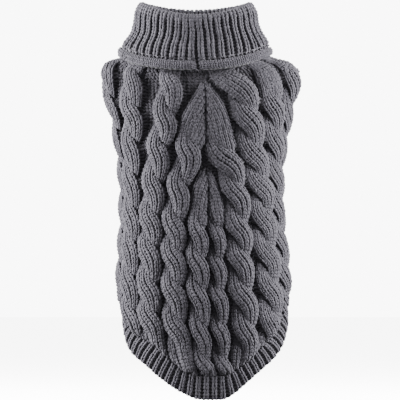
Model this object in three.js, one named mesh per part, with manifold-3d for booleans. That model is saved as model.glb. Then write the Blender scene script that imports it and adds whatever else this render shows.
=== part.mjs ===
// A cable-knit dog sweater with a turned-down collar, filled out and standing upright as if worn.
// Millimetres, +Z up. The back of the garment faces -Y and the belly faces +Y. The origin is the
// middle of the neck at the foot of the collar, and the tail tip hangs lowest.
// An angle round the body is in degrees: 0 at the middle of the back, 90 on the right (+X),
// -90 on the left, 180 at the middle of the belly.
import * as THREE from 'three';
import Module from 'manifold-3d';

const wasm = await Module();
wasm.setup();

// Driving dimensions of the knitted fabric.
const WALL = 3; // the fabric between the cables
const CABLE_RISE = 7; // how far a cable stands above that fabric
const CABLE_TUCK = 0.45; // the share of its rise that a strand loses where it goes under
const TUCK_START = 0.55; // the share of the way to the next crossing where it starts to sink
const STRAND_SWING = 0.25; // how far a strand swings from the middle, as a share of the width
const STRAND_HALF = 0.3; // half of a strand's own width, as a share of the cable's
const STRAND_FULLNESS = 0.6; // a power below 1 makes a strand rounder and its path squarer
const STRAND_OVER = 0.2; // the share of its rise that the front strand gains at a crossing
const CROSSING_PITCH = 34; // the usual distance from one crossing to the next
const CABLE_OPENING = 12; // a cable parts into its two strands over this distance
const LEAST_RISE = 0.05; // a cable lower than this is flat
const LEAST_ANGLE = 0.25; // the least angle between two columns of points
const SEAM_GAP = 0.3;
const FACET_SAG = 0.35; // the most that a flat facet cuts across a curved seam
const SIDE_SEAM = 112; // the angle where the back panel meets the belly panel
const HEM_RIB_RISE = 2.4;
const HEM_RIB_WIDTH = 8;
const COLLAR_RIB_COUNT = 40;
const COLLAR_RIB_RISE = 2.2;

// The neck seam, the foot of the shoulder below it, and how finely the panels are worked.
const NECK = 12;
const SHOULDER_END = -20;
const SHOULDER_ROWS = 7;
const BACK_ROWS = 40;
const PLAIN_ROWS = 9;
const BELLY_COLUMNS = 22;
const SIDE_COLUMNS = 3; // from the last cable to the side seam
const SEAM_PASSES = 12; // how often the lower end of a leaning column is closed in on
// A cable sinks into the neck seam and into the hem over these distances.
const NECK_FADE = 6;
const HEM_FADE = 7;

// Sections of the body, as seen from the back: its left and right edge, and its depth from the
// middle line to the back and to the belly, all without the cables.
const BODY_SECTIONS = table(['z', 'left', 'right', 'back', 'belly'], [
  [12, -58, 55, 42, 40],
  [8, -63, 59, 43.5, 41.5],
  [3, -70, 64, 45, 43.5],
  [-1, -78, 72, 46.5, 45],
  [-5, -89, 89, 48, 47],
  [-12, -96.5, 99.5, 51, 50],
  [-20, -95.5, 98, 54, 53],
  [-36, -90.5, 91.5, 58, 56],
  [-60, -82, 84, 59, 58],
  [-84, -78, 79.5, 58, 56],
  [-108, -74.5, 76.5, 56, 53],
  [-140, -73, 76.5, 54, 50],
  [-172, -73.5, 78.5, 53, 49],
  [-204, -75.5, 82.5, 53, 49],
  [-236, -76, 84.5, 52, 48],
  [-260, -75, 85.5, 50, 46],
  [-284, -71.5, 81.5, 47, 42],
  [-312, -63, 73, 44, 38],
  [-340, -58, 68, 41, 34],
]);

// The profile of a hem rib from the seam to the edge, as shares of the way and of the rib's rise.
const HEM_PROFILE = [
  { share: 0, rise: 0.7 },
  { share: 0.5, rise: 1 },
  { share: 0.92, rise: 1 },
];
const HEM_EDGE = { rise: 0.5, drop: 0.6 }; // the rounded edge below them
const HEM_INSIDE = [0, 0.5, 1];
const HEM_SAMPLES = 300; // steps in which the hem's length is measured
const HEM_END_ANGLE = 0.2; // keeps the two halves of the hem apart

// The ribbed hem. Each row is one rib's line: where it leaves the panel, and where it ends.
const HEM = table(['angle', 'seamZ', 'edgeAngle', 'edgeZ'], [
  [-180, -198, -180, -218],
  [-140, -199, -143, -219],
  [-115, -206, -125, -226],
  [-97, -224, -112, -242],
  [-80, -248, -99, -263],
  [-68, -268, -87, -283],
  [-52, -277, -71, -296],
  [-41, -284, -59, -303],
  [-32, -294, -46, -314],
  [-25, -302, -35, -322],
  [-17, -311, -22, -331],
  [-2, -314, -3, -338.5],
  [14, -314, 16, -338.5],
  [24, -310, 32, -328],
  [30, -305, 40, -321],
  [37, -299, 48, -314],
  [44, -289, 60, -305],
  [52, -280, 75, -294],
  [63, -266, 90, -280],
  [78, -245, 100, -262],
  [95, -223, 112, -241],
  [115, -205, 125, -225],
  [140, -198, 143, -218],
  [180, -198, 180, -218],
  [220, -199, 217, -219],
  [245, -206, 235, -226],
  [263, -224, 248, -242],
]);

// The cables from left to right. Each row gives a cable's place round the body, its width along
// the fabric, and the share of the full rise it has there. Crossings are heights where the strand
// from the upper left passes over the other one.
const CABLE_COLUMNS = ['z', 'angle', 'width', 'rise'];
const CABLES = {
  sideLeft: {
    rows: table(CABLE_COLUMNS, [
      [10, -66, 14, 0.2], [-6, -69, 21, 0.8], [-20, -72, 24, 1], [-50, -80, 24, 1],
      [-90, -90, 24, 1], [-130, -93, 24, 1], [-240, -93, 24, 1],
    ]),
    crossings: [-8, -40, -74, -108, -142, -176, -210],
  },
  outerLeft: {
    rows: table(CABLE_COLUMNS, [
      [10, -40, 12, 0.2], [-12, -42, 18, 0.7], [-30, -46, 22, 1], [-70, -57, 25, 1],
      [-105, -65, 26, 1], [-140, -67, 26, 1], [-265, -67, 25, 1],
    ]),
    crossings: [-20, -52, -86, -120, -154, -187, -221, -255],
  },
  midLeft: {
    rows: table(CABLE_COLUMNS, [
      [10, -20, 12, 0.2], [-12, -20, 18, 0.6], [-30, -20.5, 22, 1], [-60, -27, 24, 1],
      [-75, -30, 24, 1], [-105, -36, 25, 1], [-140, -41, 25, 1], [-170, -43, 25, 1],
      [-240, -44, 25, 1], [-285, -44, 24, 1],
    ]),
    crossings: [-24, -59, -91, -127, -160, -192, -228, -258],
  },
  innerLeft: {
    rows: table(CABLE_COLUMNS, [
      [10, 0.5, 1, 0], [-22, 1, 1, 0], [-30, 0.5, 6, 0.5], [-38, -0.5, 12, 0.9],
      [-50, -3, 17, 1], [-60, -4.5, 22, 1], [-75, -6, 26, 1], [-90, -7.5, 27, 1],
      [-100, -10, 26, 1], [-110, -13, 24, 1], [-130, -18.5, 23, 1], [-145, -20.5, 23, 1],
      [-180, -22.5, 23, 1], [-250, -22.5, 23, 1], [-290, -20.5, 22, 1], [-310, -17, 20, 1],
    ]),
    crossings: [-92, -130, -166, -197, -231, -267],
  },
  pleatLeft: {
    rows: table(CABLE_COLUMNS, [
      [10, 2.2, 0.8, 0], [-104, 2.2, 0.8, 0], [-112, 1, 5, 0.35], [-122, 0.2, 11, 0.75],
      [-140, -1.6, 15, 0.9], [-165, -2.9, 17, 1], [-180, -3.1, 19, 1], [-210, -3.7, 20, 1],
      [-250, -3.2, 20, 1], [-290, -1.5, 18, 1], [-310, 2.4, 16, 1],
    ]),
    crossings: [-172, -202, -235, -272, -304],
  },
  pleatRight: {
    rows: table(CABLE_COLUMNS, [
      [10, 3.4, 0.8, 0], [-104, 3.4, 0.8, 0], [-112, 6.2, 3, 0.2], [-122, 7.6, 6, 0.5],
      [-140, 10.9, 12, 0.7], [-160, 11.8, 15, 0.8], [-180, 11.4, 16, 0.8], [-210, 11.3, 18, 0.8],
      [-250, 12.1, 18, 0.85], [-290, 13.5, 17, 0.9], [-310, 17.5, 16, 0.9],
    ]),
    crossings: [-168, -202, -236, -270, -305],
  },
  innerRight: {
    rows: table(CABLE_COLUMNS, [
      [10, 4.8, 1, 0], [-22, 4.6, 1, 0], [-30, 5, 6, 0.5], [-38, 7, 13, 0.9],
      [-58, 11, 22, 1], [-80, 13.8, 28, 1], [-95, 16.5, 32, 1], [-105, 20, 29, 1],
      [-115, 23, 25, 1], [-140, 27.5, 25, 1], [-180, 28.9, 25, 1], [-210, 28.4, 26, 1],
      [-250, 30.9, 26, 1], [-286, 32, 25, 1], [-302, 32.7, 23, 1],
    ]),
    crossings: [-100, -133, -169, -200, -236, -272],
  },
  midRight: {
    rows: table(CABLE_COLUMNS, [
      [10, 11, 12, 0.2], [-12, 14, 22, 0.7], [-30, 23, 27, 0.9], [-50, 31, 26, 1],
      [-80, 37, 26, 1], [-105, 43, 26, 1], [-140, 50, 26, 1], [-180, 51, 26, 1],
      [-250, 53, 25, 1], [-285, 50, 23, 1],
    ]),
    crossings: [-59, -95, -127, -160, -195, -230, -264],
  },
  outerRight: {
    rows: table(CABLE_COLUMNS, [
      [10, 34, 14, 0.2], [-8, 38, 19, 0.7], [-30, 48, 22, 1], [-70, 60, 24, 1],
      [-100, 68, 25, 1], [-140, 72, 25, 1], [-250, 73, 25, 1],
    ]),
    crossings: [-47, -82, -115, -145, -180, -215, -245],
  },
  sideRight: {
    rows: table(CABLE_COLUMNS, [
      [10, 58, 14, 0.2], [-6, 62, 20, 0.8], [-40, 72, 23, 1], [-80, 84, 24, 1],
      [-120, 96, 24, 1], [-230, 97, 24, 1],
    ]),
    crossings: [-20, -54, -88, -122, -156, -190, -222],
  },
};

// The centre-back pleat: the inner cables lean together over it, and the fabric sinks between them.
const PLEAT_TOP = { start: -20, full: -46 };
const PLEAT_END = { start: -120, full: -102 };
const PLEAT_ANGLE = 2.8;
const PLEAT_HALF_ANGLE = 3;
const PLEAT_DEPTH = 1.6;

// The outer layer of the collar, without its ribs, from the fold down to the turned edge.
const COLLAR_OUTSIDE = table(['z', 'left', 'right', 'back', 'belly'], [
  [54, -61.5, 53, 42, 40],
  [44, -63, 55, 42.5, 41],
  [36, -64, 56, 43, 42],
  [28, -66, 59, 44.5, 43.5],
  [20, -71, 64, 47, 46],
  [12, -78, 69, 52, 50],
  [6, -80.5, 71, 56, 54],
  [-2, -85, 76, 60, 57],
  [-11, -91, 84, 64, 60],
]);
// The inner layer of the collar, which stands up from the neck seam to the fold.
const COLLAR_INSIDE = table(['z', 'left', 'right', 'back', 'belly'], [
  [12, -58, 55, 42, 40],
  [24, -57.5, 52, 39.5, 38],
  [36, -58.5, 51, 38.5, 37.5],
  [54, -57, 48.5, 37.5, 36],
]);
const COLLAR_LAYER = 3.2;
const COLLAR_RIM = 57; // the height of the fold at the two sides
const COLLAR_RIM_DIP = { back: 10.5, belly: 7 };
const COLLAR_EDGE = 5.5; // the height of the turned edge at the two sides
const COLLAR_EDGE_DROP = { back: 15.5, belly: 7 };
const COLLAR_EDGE_CURVE = { left: 1.2, right: 2, belly: 1.5 }; // a higher power, a tighter dip
const COLLAR_FOLD = 5; // the height of the rounded fold
const COLLAR_FOLD_TURNS = [45, 90, 135]; // degrees over the fold at which it has a point
const COLLAR_POCKET = 4; // the gap between the two layers ends this far below the fold
const COLLAR_EDGE_LIFT = 0.4; // how far the very edge stands off
// The rolled band above the edge, as shares of its height and of the ribs' rise.
const COLLAR_BAND_MIDDLE = { share: 0.5, rise: 0.8 };
const COLLAR_BAND_TOP = { share: 1, rise: 0.5 };
const COLLAR_RIBS_START = 1.15;
const COLLAR_RIB_ROWS = 4;
const COLLAR_BAND = 8.5; // the smooth rolled band below the ribs
const COLLAR_SLIT_ANGLE = -2.2; // where the ends of the collar are joined at the back
const COLLAR_SLIT_HALF_ANGLE = 4;
const COLLAR_SLIT = { start: 26, full: -4 };
const COLLAR_SLIT_DEPTH = 2.6;
// Under the collar a cable keeps this share of its rise, and frees itself below the collar's edge.
const UNDER_COLLAR = 0.2;
const OUT_OF_COLLAR = { start: 1, full: 10 };

// The two leg openings in the belly panel, each with a ribbed cuff.
const LEG = { angle: 142, z: -61, halfWidth: 20, halfHeight: 29, sides: 36, reach: 12 };
// The cuff's outer side is straight up to its shoulder, and rounds in over the lip from there.
const CUFF = {
  ribs: 16, height: 13, wall: 2.6, rise: 1.4, clear: 0.2, shoulder: 0.85, lip: 0.6, waist: 0.4,
};

const YARN = { color: 0x5b5a5f, roughness: 0.95, metalness: 0 };
const DEGREE = Math.PI / 180;

// Rows of plain numbers with named columns, each column as a smooth function of the first one.
function table(columns, rows) {
  const sorted = [...rows].sort((a, b) => a[0] - b[0]);
  const keys = sorted.map((row) => row[0]);
  const found = {};
  for (let c = 1; c < columns.length; c += 1) {
    found[columns[c]] = smooth(keys, sorted.map((row) => row[c]));
  }
  return found;
}

// A curve through points that never swings past them: cubic pieces with limited slopes.
function smooth(keys, values) {
  const last = keys.length - 1;
  const steps = [];
  for (let i = 0; i < last; i += 1) {
    steps.push((values[i + 1] - values[i]) / (keys[i + 1] - keys[i]));
  }
  const slopes = keys.map((_, i) => {
    if (i === 0 || i === last) return steps[Math.min(i, last - 1)];
    const before = steps[i - 1];
    const after = steps[i];
    if (before * after <= 0) return 0;
    return (2 * before * after) / (before + after);
  });
  return (key) => {
    const k = Math.min(Math.max(key, keys[0]), keys[last]);
    let i = 0;
    while (i < last - 1 && k > keys[i + 1]) i += 1;
    const span = keys[i + 1] - keys[i];
    const t = (k - keys[i]) / span;
    const u = 1 - t;
    return (
      values[i] * (1 + 2 * t) * u * u +
      values[i + 1] * (3 - 2 * t) * t * t +
      span * t * u * (slopes[i] * u - slopes[i + 1] * t)
    );
  };
}

// A smooth step from 0 to 1 as x goes from one value to another.
function ease(from, to, x) {
  const t = Math.min(Math.max((x - from) / (to - from), 0), 1);
  return t * t * (3 - 2 * t);
}

// A point on a tube whose sections come from a table.
function tubePoint(sections, angle, z) {
  const left = sections.left(z);
  const right = sections.right(z);
  const turn = angle * DEGREE;
  const depth = Math.cos(turn) > 0 ? sections.back(z) : sections.belly(z);
  return new THREE.Vector3(
    (left + right) / 2 + ((right - left) / 2) * Math.sin(turn),
    -depth * Math.cos(turn),
    z,
  );
}

// The direction straight out of that tube.
function tubeNormal(sections, angle, z) {
  const step = 0.5;
  const round = tubePoint(sections, angle + step, z).sub(tubePoint(sections, angle - step, z));
  const up = tubePoint(sections, angle, z + step).sub(tubePoint(sections, angle, z - step));
  return round.cross(up).normalize();
}

// A point lifted off that tube.
function lifted(sections, angle, z, lift) {
  return tubePoint(sections, angle, z).addScaledVector(tubeNormal(sections, angle, z), lift);
}

// Millimetres along the fabric for one degree round the body.
function perDegree(angle, z) {
  const before = tubePoint(BODY_SECTIONS, angle - 0.5, z);
  return tubePoint(BODY_SECTIONS, angle + 0.5, z).distanceTo(before);
}

// How far through its twist a cable is: whole numbers at crossings, and null above the first.
function twist(crossings, z) {
  if (z > crossings[0]) return null;
  let i = 0;
  while (i < crossings.length - 1 && z <= crossings[i + 1]) i += 1;
  if (i === crossings.length - 1) {
    return i + Math.min((crossings[i] - z) / CROSSING_PITCH, 0.5);
  }
  return i + (crossings[i] - z) / (crossings[i] - crossings[i + 1]);
}

// The height of a cable above the fabric, at a distance across it.
function cableHeight(cable, across, z) {
  const width = cable.rows.width(z);
  const rise = CABLE_RISE * cable.rows.rise(z);
  if (rise < LEAST_RISE || Math.abs(across) > width / 2) return 0;
  const turns = twist(cable.crossings, z);
  const uncrossed = turns === null;
  const first = cable.crossings[0];
  const opened = ease(first, first + CABLE_OPENING, z);
  const phase = uncrossed ? opened / 2 : turns - Math.floor(turns);
  const apart = Math.sin(Math.PI * phase) ** STRAND_FULLNESS;
  const rightTuck = uncrossed ? 0 : CABLE_TUCK * ease(TUCK_START, 1, phase);
  const leftTuck = CABLE_TUCK * ease(1 - TUCK_START, 0, phase);
  const swing = apart * width * STRAND_SWING;
  const strands = [
    { at: swing, top: rise * (1 - rightTuck) },
    { at: -swing, top: rise * (1 - leftTuck + (1 - apart) * STRAND_OVER) },
  ];
  const half = width * STRAND_HALF;
  const heights = strands.map(({ at, top }) => {
    const off = Math.min(Math.abs(across - at) / half, 1);
    return top * (1 - off * off) ** STRAND_FULLNESS;
  });
  return Math.max(...heights);
}

// How far the fabric sinks into the centre-back pleat.
function pleatSink(angle, z) {
  const below = ease(PLEAT_TOP.start, PLEAT_TOP.full, z);
  const along = below * ease(PLEAT_END.start, PLEAT_END.full, z);
  const near = Math.max(0, 1 - Math.abs(angle - PLEAT_ANGLE) / PLEAT_HALF_ANGLE);
  return PLEAT_DEPTH * along * near;
}

// A closed solid from its points and triangles, with its faces pointing out.
function solid(points, triangles) {
  let volume = 0;
  for (const [a, b, c] of triangles) {
    volume += points[a].dot(points[b].clone().cross(points[c]));
  }
  const order = volume < 0 ? [0, 2, 1] : [0, 1, 2];
  const geometry = new THREE.BufferGeometry();
  const numbers = points.flatMap((point) => point.toArray());
  geometry.setAttribute('position', new THREE.Float32BufferAttribute(numbers, 3));
  geometry.setIndex(triangles.flatMap((t) => order.map((k) => t[k])));
  geometry.computeVertexNormals();
  return geometry;
}

// Triangles between two chains of points that both run downwards.
function zip(points, first, second) {
  const triangles = [];
  let i = 0;
  let j = 0;
  while (i < first.length - 1 || j < second.length - 1) {
    const firstDone = i === first.length - 1;
    const secondDone = j === second.length - 1;
    if (secondDone || (!firstDone && points[first[i + 1]].z >= points[second[j + 1]].z)) {
      triangles.push([first[i], first[i + 1], second[j]]);
      i += 1;
    } else {
      triangles.push([first[i], second[j + 1], second[j]]);
      j += 1;
    }
  }
  return triangles;
}

// A wall between an outer and an inner grid of points, which may differ in their rows.
// A column is a line from the top edge to the bottom edge.
function wall(outer, inner) {
  const columns = outer.length;
  const points = [];
  const add = (column) => column.map((point) => points.push(point) - 1);
  const outside = outer.map(add);
  const inside = inner.map(add);
  const triangles = [];
  const quad = (a, b, c, d) => triangles.push([a, b, c], [a, c, d]);
  for (let i = 0; i < columns - 1; i += 1) {
    const [o, p] = [outside[i], outside[i + 1]];
    const [m, n] = [inside[i], inside[i + 1]];
    for (let j = 0; j < o.length - 1; j += 1) quad(o[j], o[j + 1], p[j + 1], p[j]);
    for (let j = 0; j < m.length - 1; j += 1) quad(m[j], n[j], n[j + 1], m[j + 1]);
    quad(o[0], p[0], n[0], m[0]);
    quad(o.at(-1), m.at(-1), n.at(-1), p.at(-1));
  }
  triangles.push(...zip(points, outside.at(-1), inside.at(-1)));
  triangles.push(...zip(points, outside[0], inside[0]).map(([a, b, c]) => [a, c, b]));
  return solid(points, triangles);
}

// A ring whose cross-section is a closed loop of points, one loop for each column round it.
function ring(loops) {
  const points = loops.flat();
  const side = loops[0].length;
  const triangles = [];
  for (let i = 0; i < loops.length; i += 1) {
    const here = i * side;
    const next = ((i + 1) % loops.length) * side;
    for (let k = 0; k < side; k += 1) {
      const l = (k + 1) % side;
      triangles.push([here + k, here + l, next + l], [here + k, next + l, next + k]);
    }
  }
  return solid(points, triangles);
}

// Evenly spaced numbers, with both ends.
function span(from, to, steps) {
  return Array.from({ length: steps + 1 }, (_, i) => from + ((to - from) * i) / steps);
}

// Angles at which the hem's middle line is cut into ribs: a groove, then the next rib's crest.
function hemColumns(from, to) {
  const middle = (angle) => {
    const at = (HEM.edgeAngle(angle) + angle) / 2;
    return tubePoint(BODY_SECTIONS, at, (HEM.seamZ(angle) + HEM.edgeZ(angle)) / 2);
  };
  const fine = span(from, to, HEM_SAMPLES);
  const along = [0];
  for (let i = 1; i < fine.length; i += 1) {
    along.push(along[i - 1] + middle(fine[i]).distanceTo(middle(fine[i - 1])));
  }
  const ribs = Math.round(along.at(-1) / HEM_RIB_WIDTH);
  const angleAt = smooth(along, fine);
  const columns = [];
  for (let rib = 0; rib < ribs; rib += 1) {
    for (const crest of [0, 1]) {
      columns.push({ angle: angleAt(((rib + crest / 2) / ribs) * along.at(-1)), crest });
    }
  }
  columns.push({ angle: to, crest: 0 });
  return columns;
}

// A point of the hem band. share is 0 at the seam and 1 at the edge.
function hemPoint(angle, share, lift) {
  const seam = HEM.seamZ(angle) - SEAM_GAP - FACET_SAG;
  const at = angle + (HEM.edgeAngle(angle) - angle) * share;
  return lifted(BODY_SECTIONS, at, seam + (HEM.edgeZ(angle) - seam) * share, lift);
}

// One half of the hem, with a groove at each end.
function hemRib(from, to) {
  const columns = hemColumns(from, to);
  const outer = columns.map(({ angle, crest }) => {
    const rib = HEM_RIB_RISE * crest;
    const edge = hemPoint(angle, 1, rib * HEM_EDGE.rise - HEM_EDGE.drop);
    return [...HEM_PROFILE.map(({ share, rise }) => hemPoint(angle, share, rib * rise)), edge];
  });
  const inner = columns.map(({ angle }) => {
    return HEM_INSIDE.map((share) => hemPoint(angle, share, -WALL));
  });
  return wall(outer, inner);
}

// The angles of the back panel's columns at one height: five on each cable, one between cables,
// and a few between the last cable and each side seam.
function panelAngles(z) {
  const edge = SIDE_SEAM - (SEAM_GAP / 2 + FACET_SAG / 2) / perDegree(SIDE_SEAM, z);
  const angles = [];
  let before = null;
  for (const cable of Object.values(CABLES)) {
    const centre = cable.rows.angle(z);
    const half = cable.rows.width(z) / 2 / perDegree(centre, z);
    if (before !== null) angles.push((before + centre - half) / 2);
    angles.push(...[-1, -0.5, 0, 0.5, 1].map((share) => centre + half * share));
    before = centre + half;
  }
  angles.unshift(...span(-edge, angles[0], SIDE_COLUMNS).slice(0, SIDE_COLUMNS));
  angles.push(...span(before, edge, SIDE_COLUMNS).slice(1));
  for (let i = 1; i < angles.length; i += 1) {
    angles[i] = Math.max(angles[i], angles[i - 1] + LEAST_ANGLE);
  }
  for (let i = angles.length - 1; i > 0; i -= 1) {
    angles[i - 1] = Math.min(angles[i - 1], angles[i] - LEAST_ANGLE);
  }
  angles[0] = -edge;
  return angles;
}

// How much of a cable's rise is left free by the collar that lies over it.
function freeOfCollar(angle, z) {
  const edge = collarEdge(angle);
  const freed = ease(edge - OUT_OF_COLLAR.start, edge - OUT_OF_COLLAR.full, z);
  return UNDER_COLLAR + (1 - UNDER_COLLAR) * freed;
}

// How far the back panel stands off the plain fabric, with its cables and its pleat.
function panelHeight(angle, z) {
  let height = 0;
  for (const cable of Object.values(CABLES)) {
    const centre = cable.rows.angle(z);
    height = Math.max(height, cableHeight(cable, (angle - centre) * perDegree(centre, z), z));
  }
  const hem = HEM.seamZ(angle);
  const ends = ease(hem, hem + HEM_FADE, z) * ease(NECK, NECK - NECK_FADE, z);
  return height * freeOfCollar(angle, z) * ends - pleatSink(angle, z);
}

// The heights of a panel's rows: close together over the shoulder, even from there to the hem.
function rowHeights(seam, bodyRows) {
  return [
    ...span(NECK, SHOULDER_END, SHOULDER_ROWS),
    ...span(SHOULDER_END, seam, bodyRows).slice(1),
  ];
}

// The cabled back, whose columns of points follow the cables down to the hem.
function backPanel() {
  const last = panelAngles(SHOULDER_END).length - 1;
  const column = (i, bodyRows, lift) => {
    // The column leans, so the height of its lower end is closed in on.
    let seam = HEM.seamZ(panelAngles(SHOULDER_END)[i]);
    for (let pass = 0; pass < SEAM_PASSES; pass += 1) {
      seam = (seam + HEM.seamZ(panelAngles(seam)[i])) / 2;
    }
    return rowHeights(seam, bodyRows).map((z) => {
      const angle = panelAngles(z)[i];
      return lifted(BODY_SECTIONS, angle, z, lift(i, angle, z));
    });
  };
  const raised = (i, angle, z) => (i % last === 0 ? 0 : panelHeight(angle, z));
  const columns = span(0, last, last);
  return wall(
    columns.map((i) => column(i, BACK_ROWS, raised)),
    columns.map((i) => column(i, PLAIN_ROWS, () => -WALL)),
  );
}

// A point beside a leg opening. grow widens the opening, lift moves the point straight out of it.
function legPoint(side, turn, grow, lift) {
  const { angle, z, halfWidth, halfHeight } = LEG;
  const across = (halfWidth + grow) * Math.cos(turn);
  const up = (halfHeight + grow) * Math.sin(turn);
  const at = side * angle + across / perDegree(side * angle, z);
  const out = tubeNormal(BODY_SECTIONS, side * angle, z);
  return lifted(BODY_SECTIONS, at, z + up, SEAM_GAP + FACET_SAG).addScaledVector(out, lift);
}

// The plug that cuts a leg opening out of the belly panel.
function legPlug(side) {
  const { sides, reach } = LEG;
  const points = [];
  for (const lift of [-reach, reach]) {
    for (let i = 0; i < sides; i += 1) {
      points.push(legPoint(side, (i / sides) * 2 * Math.PI, 0, lift));
    }
  }
  const middle = legPoint(side, 0, 0, 0).add(legPoint(side, Math.PI, 0, 0)).multiplyScalar(0.5);
  const out = tubeNormal(BODY_SECTIONS, side * LEG.angle, LEG.z);
  for (const lift of [-reach, reach]) points.push(middle.clone().addScaledVector(out, lift));
  const triangles = [];
  for (let i = 0; i < sides; i += 1) {
    const j = (i + 1) % sides;
    triangles.push([i, j, sides + j], [i, sides + j, sides + i]);
    triangles.push([2 * sides, j, i], [2 * sides + 1, sides + i, sides + j]);
  }
  return solid(points, triangles);
}

// A closed mesh as a solid that can be cut, and back.
function toManifold(geometry) {
  return new wasm.Manifold(new wasm.Mesh({
    numProp: 3,
    vertProperties: new Float32Array(geometry.getAttribute('position').array),
    triVerts: new Uint32Array(geometry.index.array),
  }));
}

function fromManifold(manifold) {
  const mesh = manifold.getMesh();
  const geometry = new THREE.BufferGeometry();
  geometry.setAttribute('position', new THREE.BufferAttribute(mesh.vertProperties, 3));
  geometry.setIndex(new THREE.BufferAttribute(mesh.triVerts, 1));
  geometry.computeVertexNormals();
  return geometry;
}

// The plain belly between the side seams, with a hole for each leg.
function bellyPanel() {
  const column = (share, lift) => {
    const from = SIDE_SEAM + (360 - 2 * SIDE_SEAM) * share;
    return rowHeights(HEM.seamZ(from), PLAIN_ROWS).map((z) => {
      const edge = SIDE_SEAM + (SEAM_GAP / 2 + FACET_SAG / 2) / perDegree(SIDE_SEAM, z);
      return lifted(BODY_SECTIONS, edge + (360 - 2 * edge) * share, z, lift);
    });
  };
  const shares = span(0, 1, BELLY_COLUMNS);
  const panel = wall(
    shares.map((share) => column(share, 0)),
    shares.map((share) => column(share, -WALL)),
  );
  const cut = toManifold(panel)
    .subtract(toManifold(legPlug(1)))
    .subtract(toManifold(legPlug(-1)));
  return fromManifold(cut);
}

// The ribbed ring that stands round a leg opening.
function legCuff(side) {
  const { ribs, height, wall: thick, rise, clear, shoulder, lip, waist } = CUFF;
  const loops = [];
  for (let rib = 0; rib < ribs; rib += 1) {
    for (const crest of [0, 1]) {
      const turn = ((rib + crest / 2) / ribs) * 2 * Math.PI;
      const bump = rise * crest;
      loops.push([
        legPoint(side, turn, clear, 0),
        legPoint(side, turn, thick + bump, 0),
        legPoint(side, turn, thick + bump, height * shoulder),
        legPoint(side, turn, thick * lip + bump, height),
        legPoint(side, turn, clear, height - lip),
        legPoint(side, turn, 0, height * waist),
      ]);
    }
  }
  return ring(loops);
}

// The height of the collar's turned edge and of its fold, round the neck.
function collarEdge(angle) {
  const facing = Math.cos(angle * DEGREE);
  if (facing < 0) return COLLAR_EDGE - COLLAR_EDGE_DROP.belly * (-facing) ** COLLAR_EDGE_CURVE.belly;
  const curve = Math.sin(angle * DEGREE) < 0 ? COLLAR_EDGE_CURVE.left : COLLAR_EDGE_CURVE.right;
  return COLLAR_EDGE - COLLAR_EDGE_DROP.back * facing ** curve;
}

function collarRim(angle) {
  const facing = Math.cos(angle * DEGREE);
  return COLLAR_RIM - (facing > 0 ? COLLAR_RIM_DIP.back : COLLAR_RIM_DIP.belly) * facing * facing;
}

// How deep the join at the back of the collar sinks in, at one place.
function collarSlit(angle, z) {
  const near = Math.max(0, 1 - Math.abs(angle - COLLAR_SLIT_ANGLE) / COLLAR_SLIT_HALF_ANGLE);
  return COLLAR_SLIT_DEPTH * near * ease(COLLAR_SLIT.start, COLLAR_SLIT.full, z);
}

// The cross-section of the collar at one angle: up the ribbed outside, over the fold, down the
// inside of the neck, and round the slit between its two layers.
function collarLoop(angle, crest) {
  const edge = collarEdge(angle);
  const rim = collarRim(angle);
  const foot = NECK + SEAM_GAP;
  const shoulder = rim - COLLAR_FOLD;
  const pocket = shoulder - COLLAR_POCKET;
  const bandMiddle = edge + COLLAR_BAND * COLLAR_BAND_MIDDLE.share;
  const bandTop = edge + COLLAR_BAND * COLLAR_BAND_TOP.share;
  const ribs = span(edge + COLLAR_BAND * COLLAR_RIBS_START, shoulder, COLLAR_RIB_ROWS);
  const loop = [];
  const out = (z, lift) => {
    loop.push(lifted(COLLAR_OUTSIDE, angle, z, lift - collarSlit(angle, z)));
  };
  out(edge, COLLAR_EDGE_LIFT);
  out(bandMiddle, COLLAR_RIB_RISE * COLLAR_BAND_MIDDLE.rise);
  out(bandTop, COLLAR_RIB_RISE * COLLAR_BAND_TOP.rise);
  for (const z of ribs) out(z, COLLAR_RIB_RISE * crest);
  const from = loop.at(-1).clone();
  const to = lifted(COLLAR_INSIDE, angle, shoulder, -COLLAR_LAYER);
  const over = from.clone().add(to).multiplyScalar(0.5);
  for (const turn of COLLAR_FOLD_TURNS) {
    const point = over.clone().addScaledVector(from.clone().sub(over), Math.cos(turn * DEGREE));
    point.z = shoulder + (rim - shoulder) * Math.sin(turn * DEGREE);
    loop.push(point);
  }
  loop.push(to);
  for (const z of span(shoulder, foot, 2).slice(1)) {
    loop.push(lifted(COLLAR_INSIDE, angle, z, -COLLAR_LAYER));
  }
  loop.at(-1).z = foot;
  for (const z of span(foot, pocket, 2)) loop.push(lifted(COLLAR_INSIDE, angle, z, 0));
  const behind = ribs.slice(1, -1).reverse();
  for (const z of [pocket, ...behind, bandTop, edge]) {
    loop.push(lifted(COLLAR_OUTSIDE, angle, z, -COLLAR_LAYER));
  }
  return loop;
}

// The whole collar, rib by rib round the neck from the join at its back.
function collar() {
  const loops = [];
  for (let rib = 0; rib < COLLAR_RIB_COUNT; rib += 1) {
    for (const crest of [0, 1]) {
      const turn = ((rib + crest / 2) / COLLAR_RIB_COUNT) * 360 + COLLAR_SLIT_ANGLE;
      loops.push(collarLoop(turn, crest));
    }
  }
  return ring(loops);
}

const sweater = new THREE.Group();

// Adds one sewn piece to the sweater.
function piece(name, geometry) {
  const mesh = new THREE.Mesh(geometry, new THREE.MeshStandardMaterial(YARN));
  mesh.name = name;
  sweater.add(mesh);
}

piece('back_panel', backPanel());
piece('belly_panel', bellyPanel());
piece('collar', collar());
const hemEnd = SIDE_SEAM - HEM_END_ANGLE;
piece('hem_rib_back', hemRib(-hemEnd, hemEnd));
piece('hem_rib_belly', hemRib(SIDE_SEAM + HEM_END_ANGLE, 360 - SIDE_SEAM - HEM_END_ANGLE));
piece('leg_cuff_right', legCuff(1));
piece('leg_cuff_left', legCuff(-1));

export default sweater;
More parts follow.
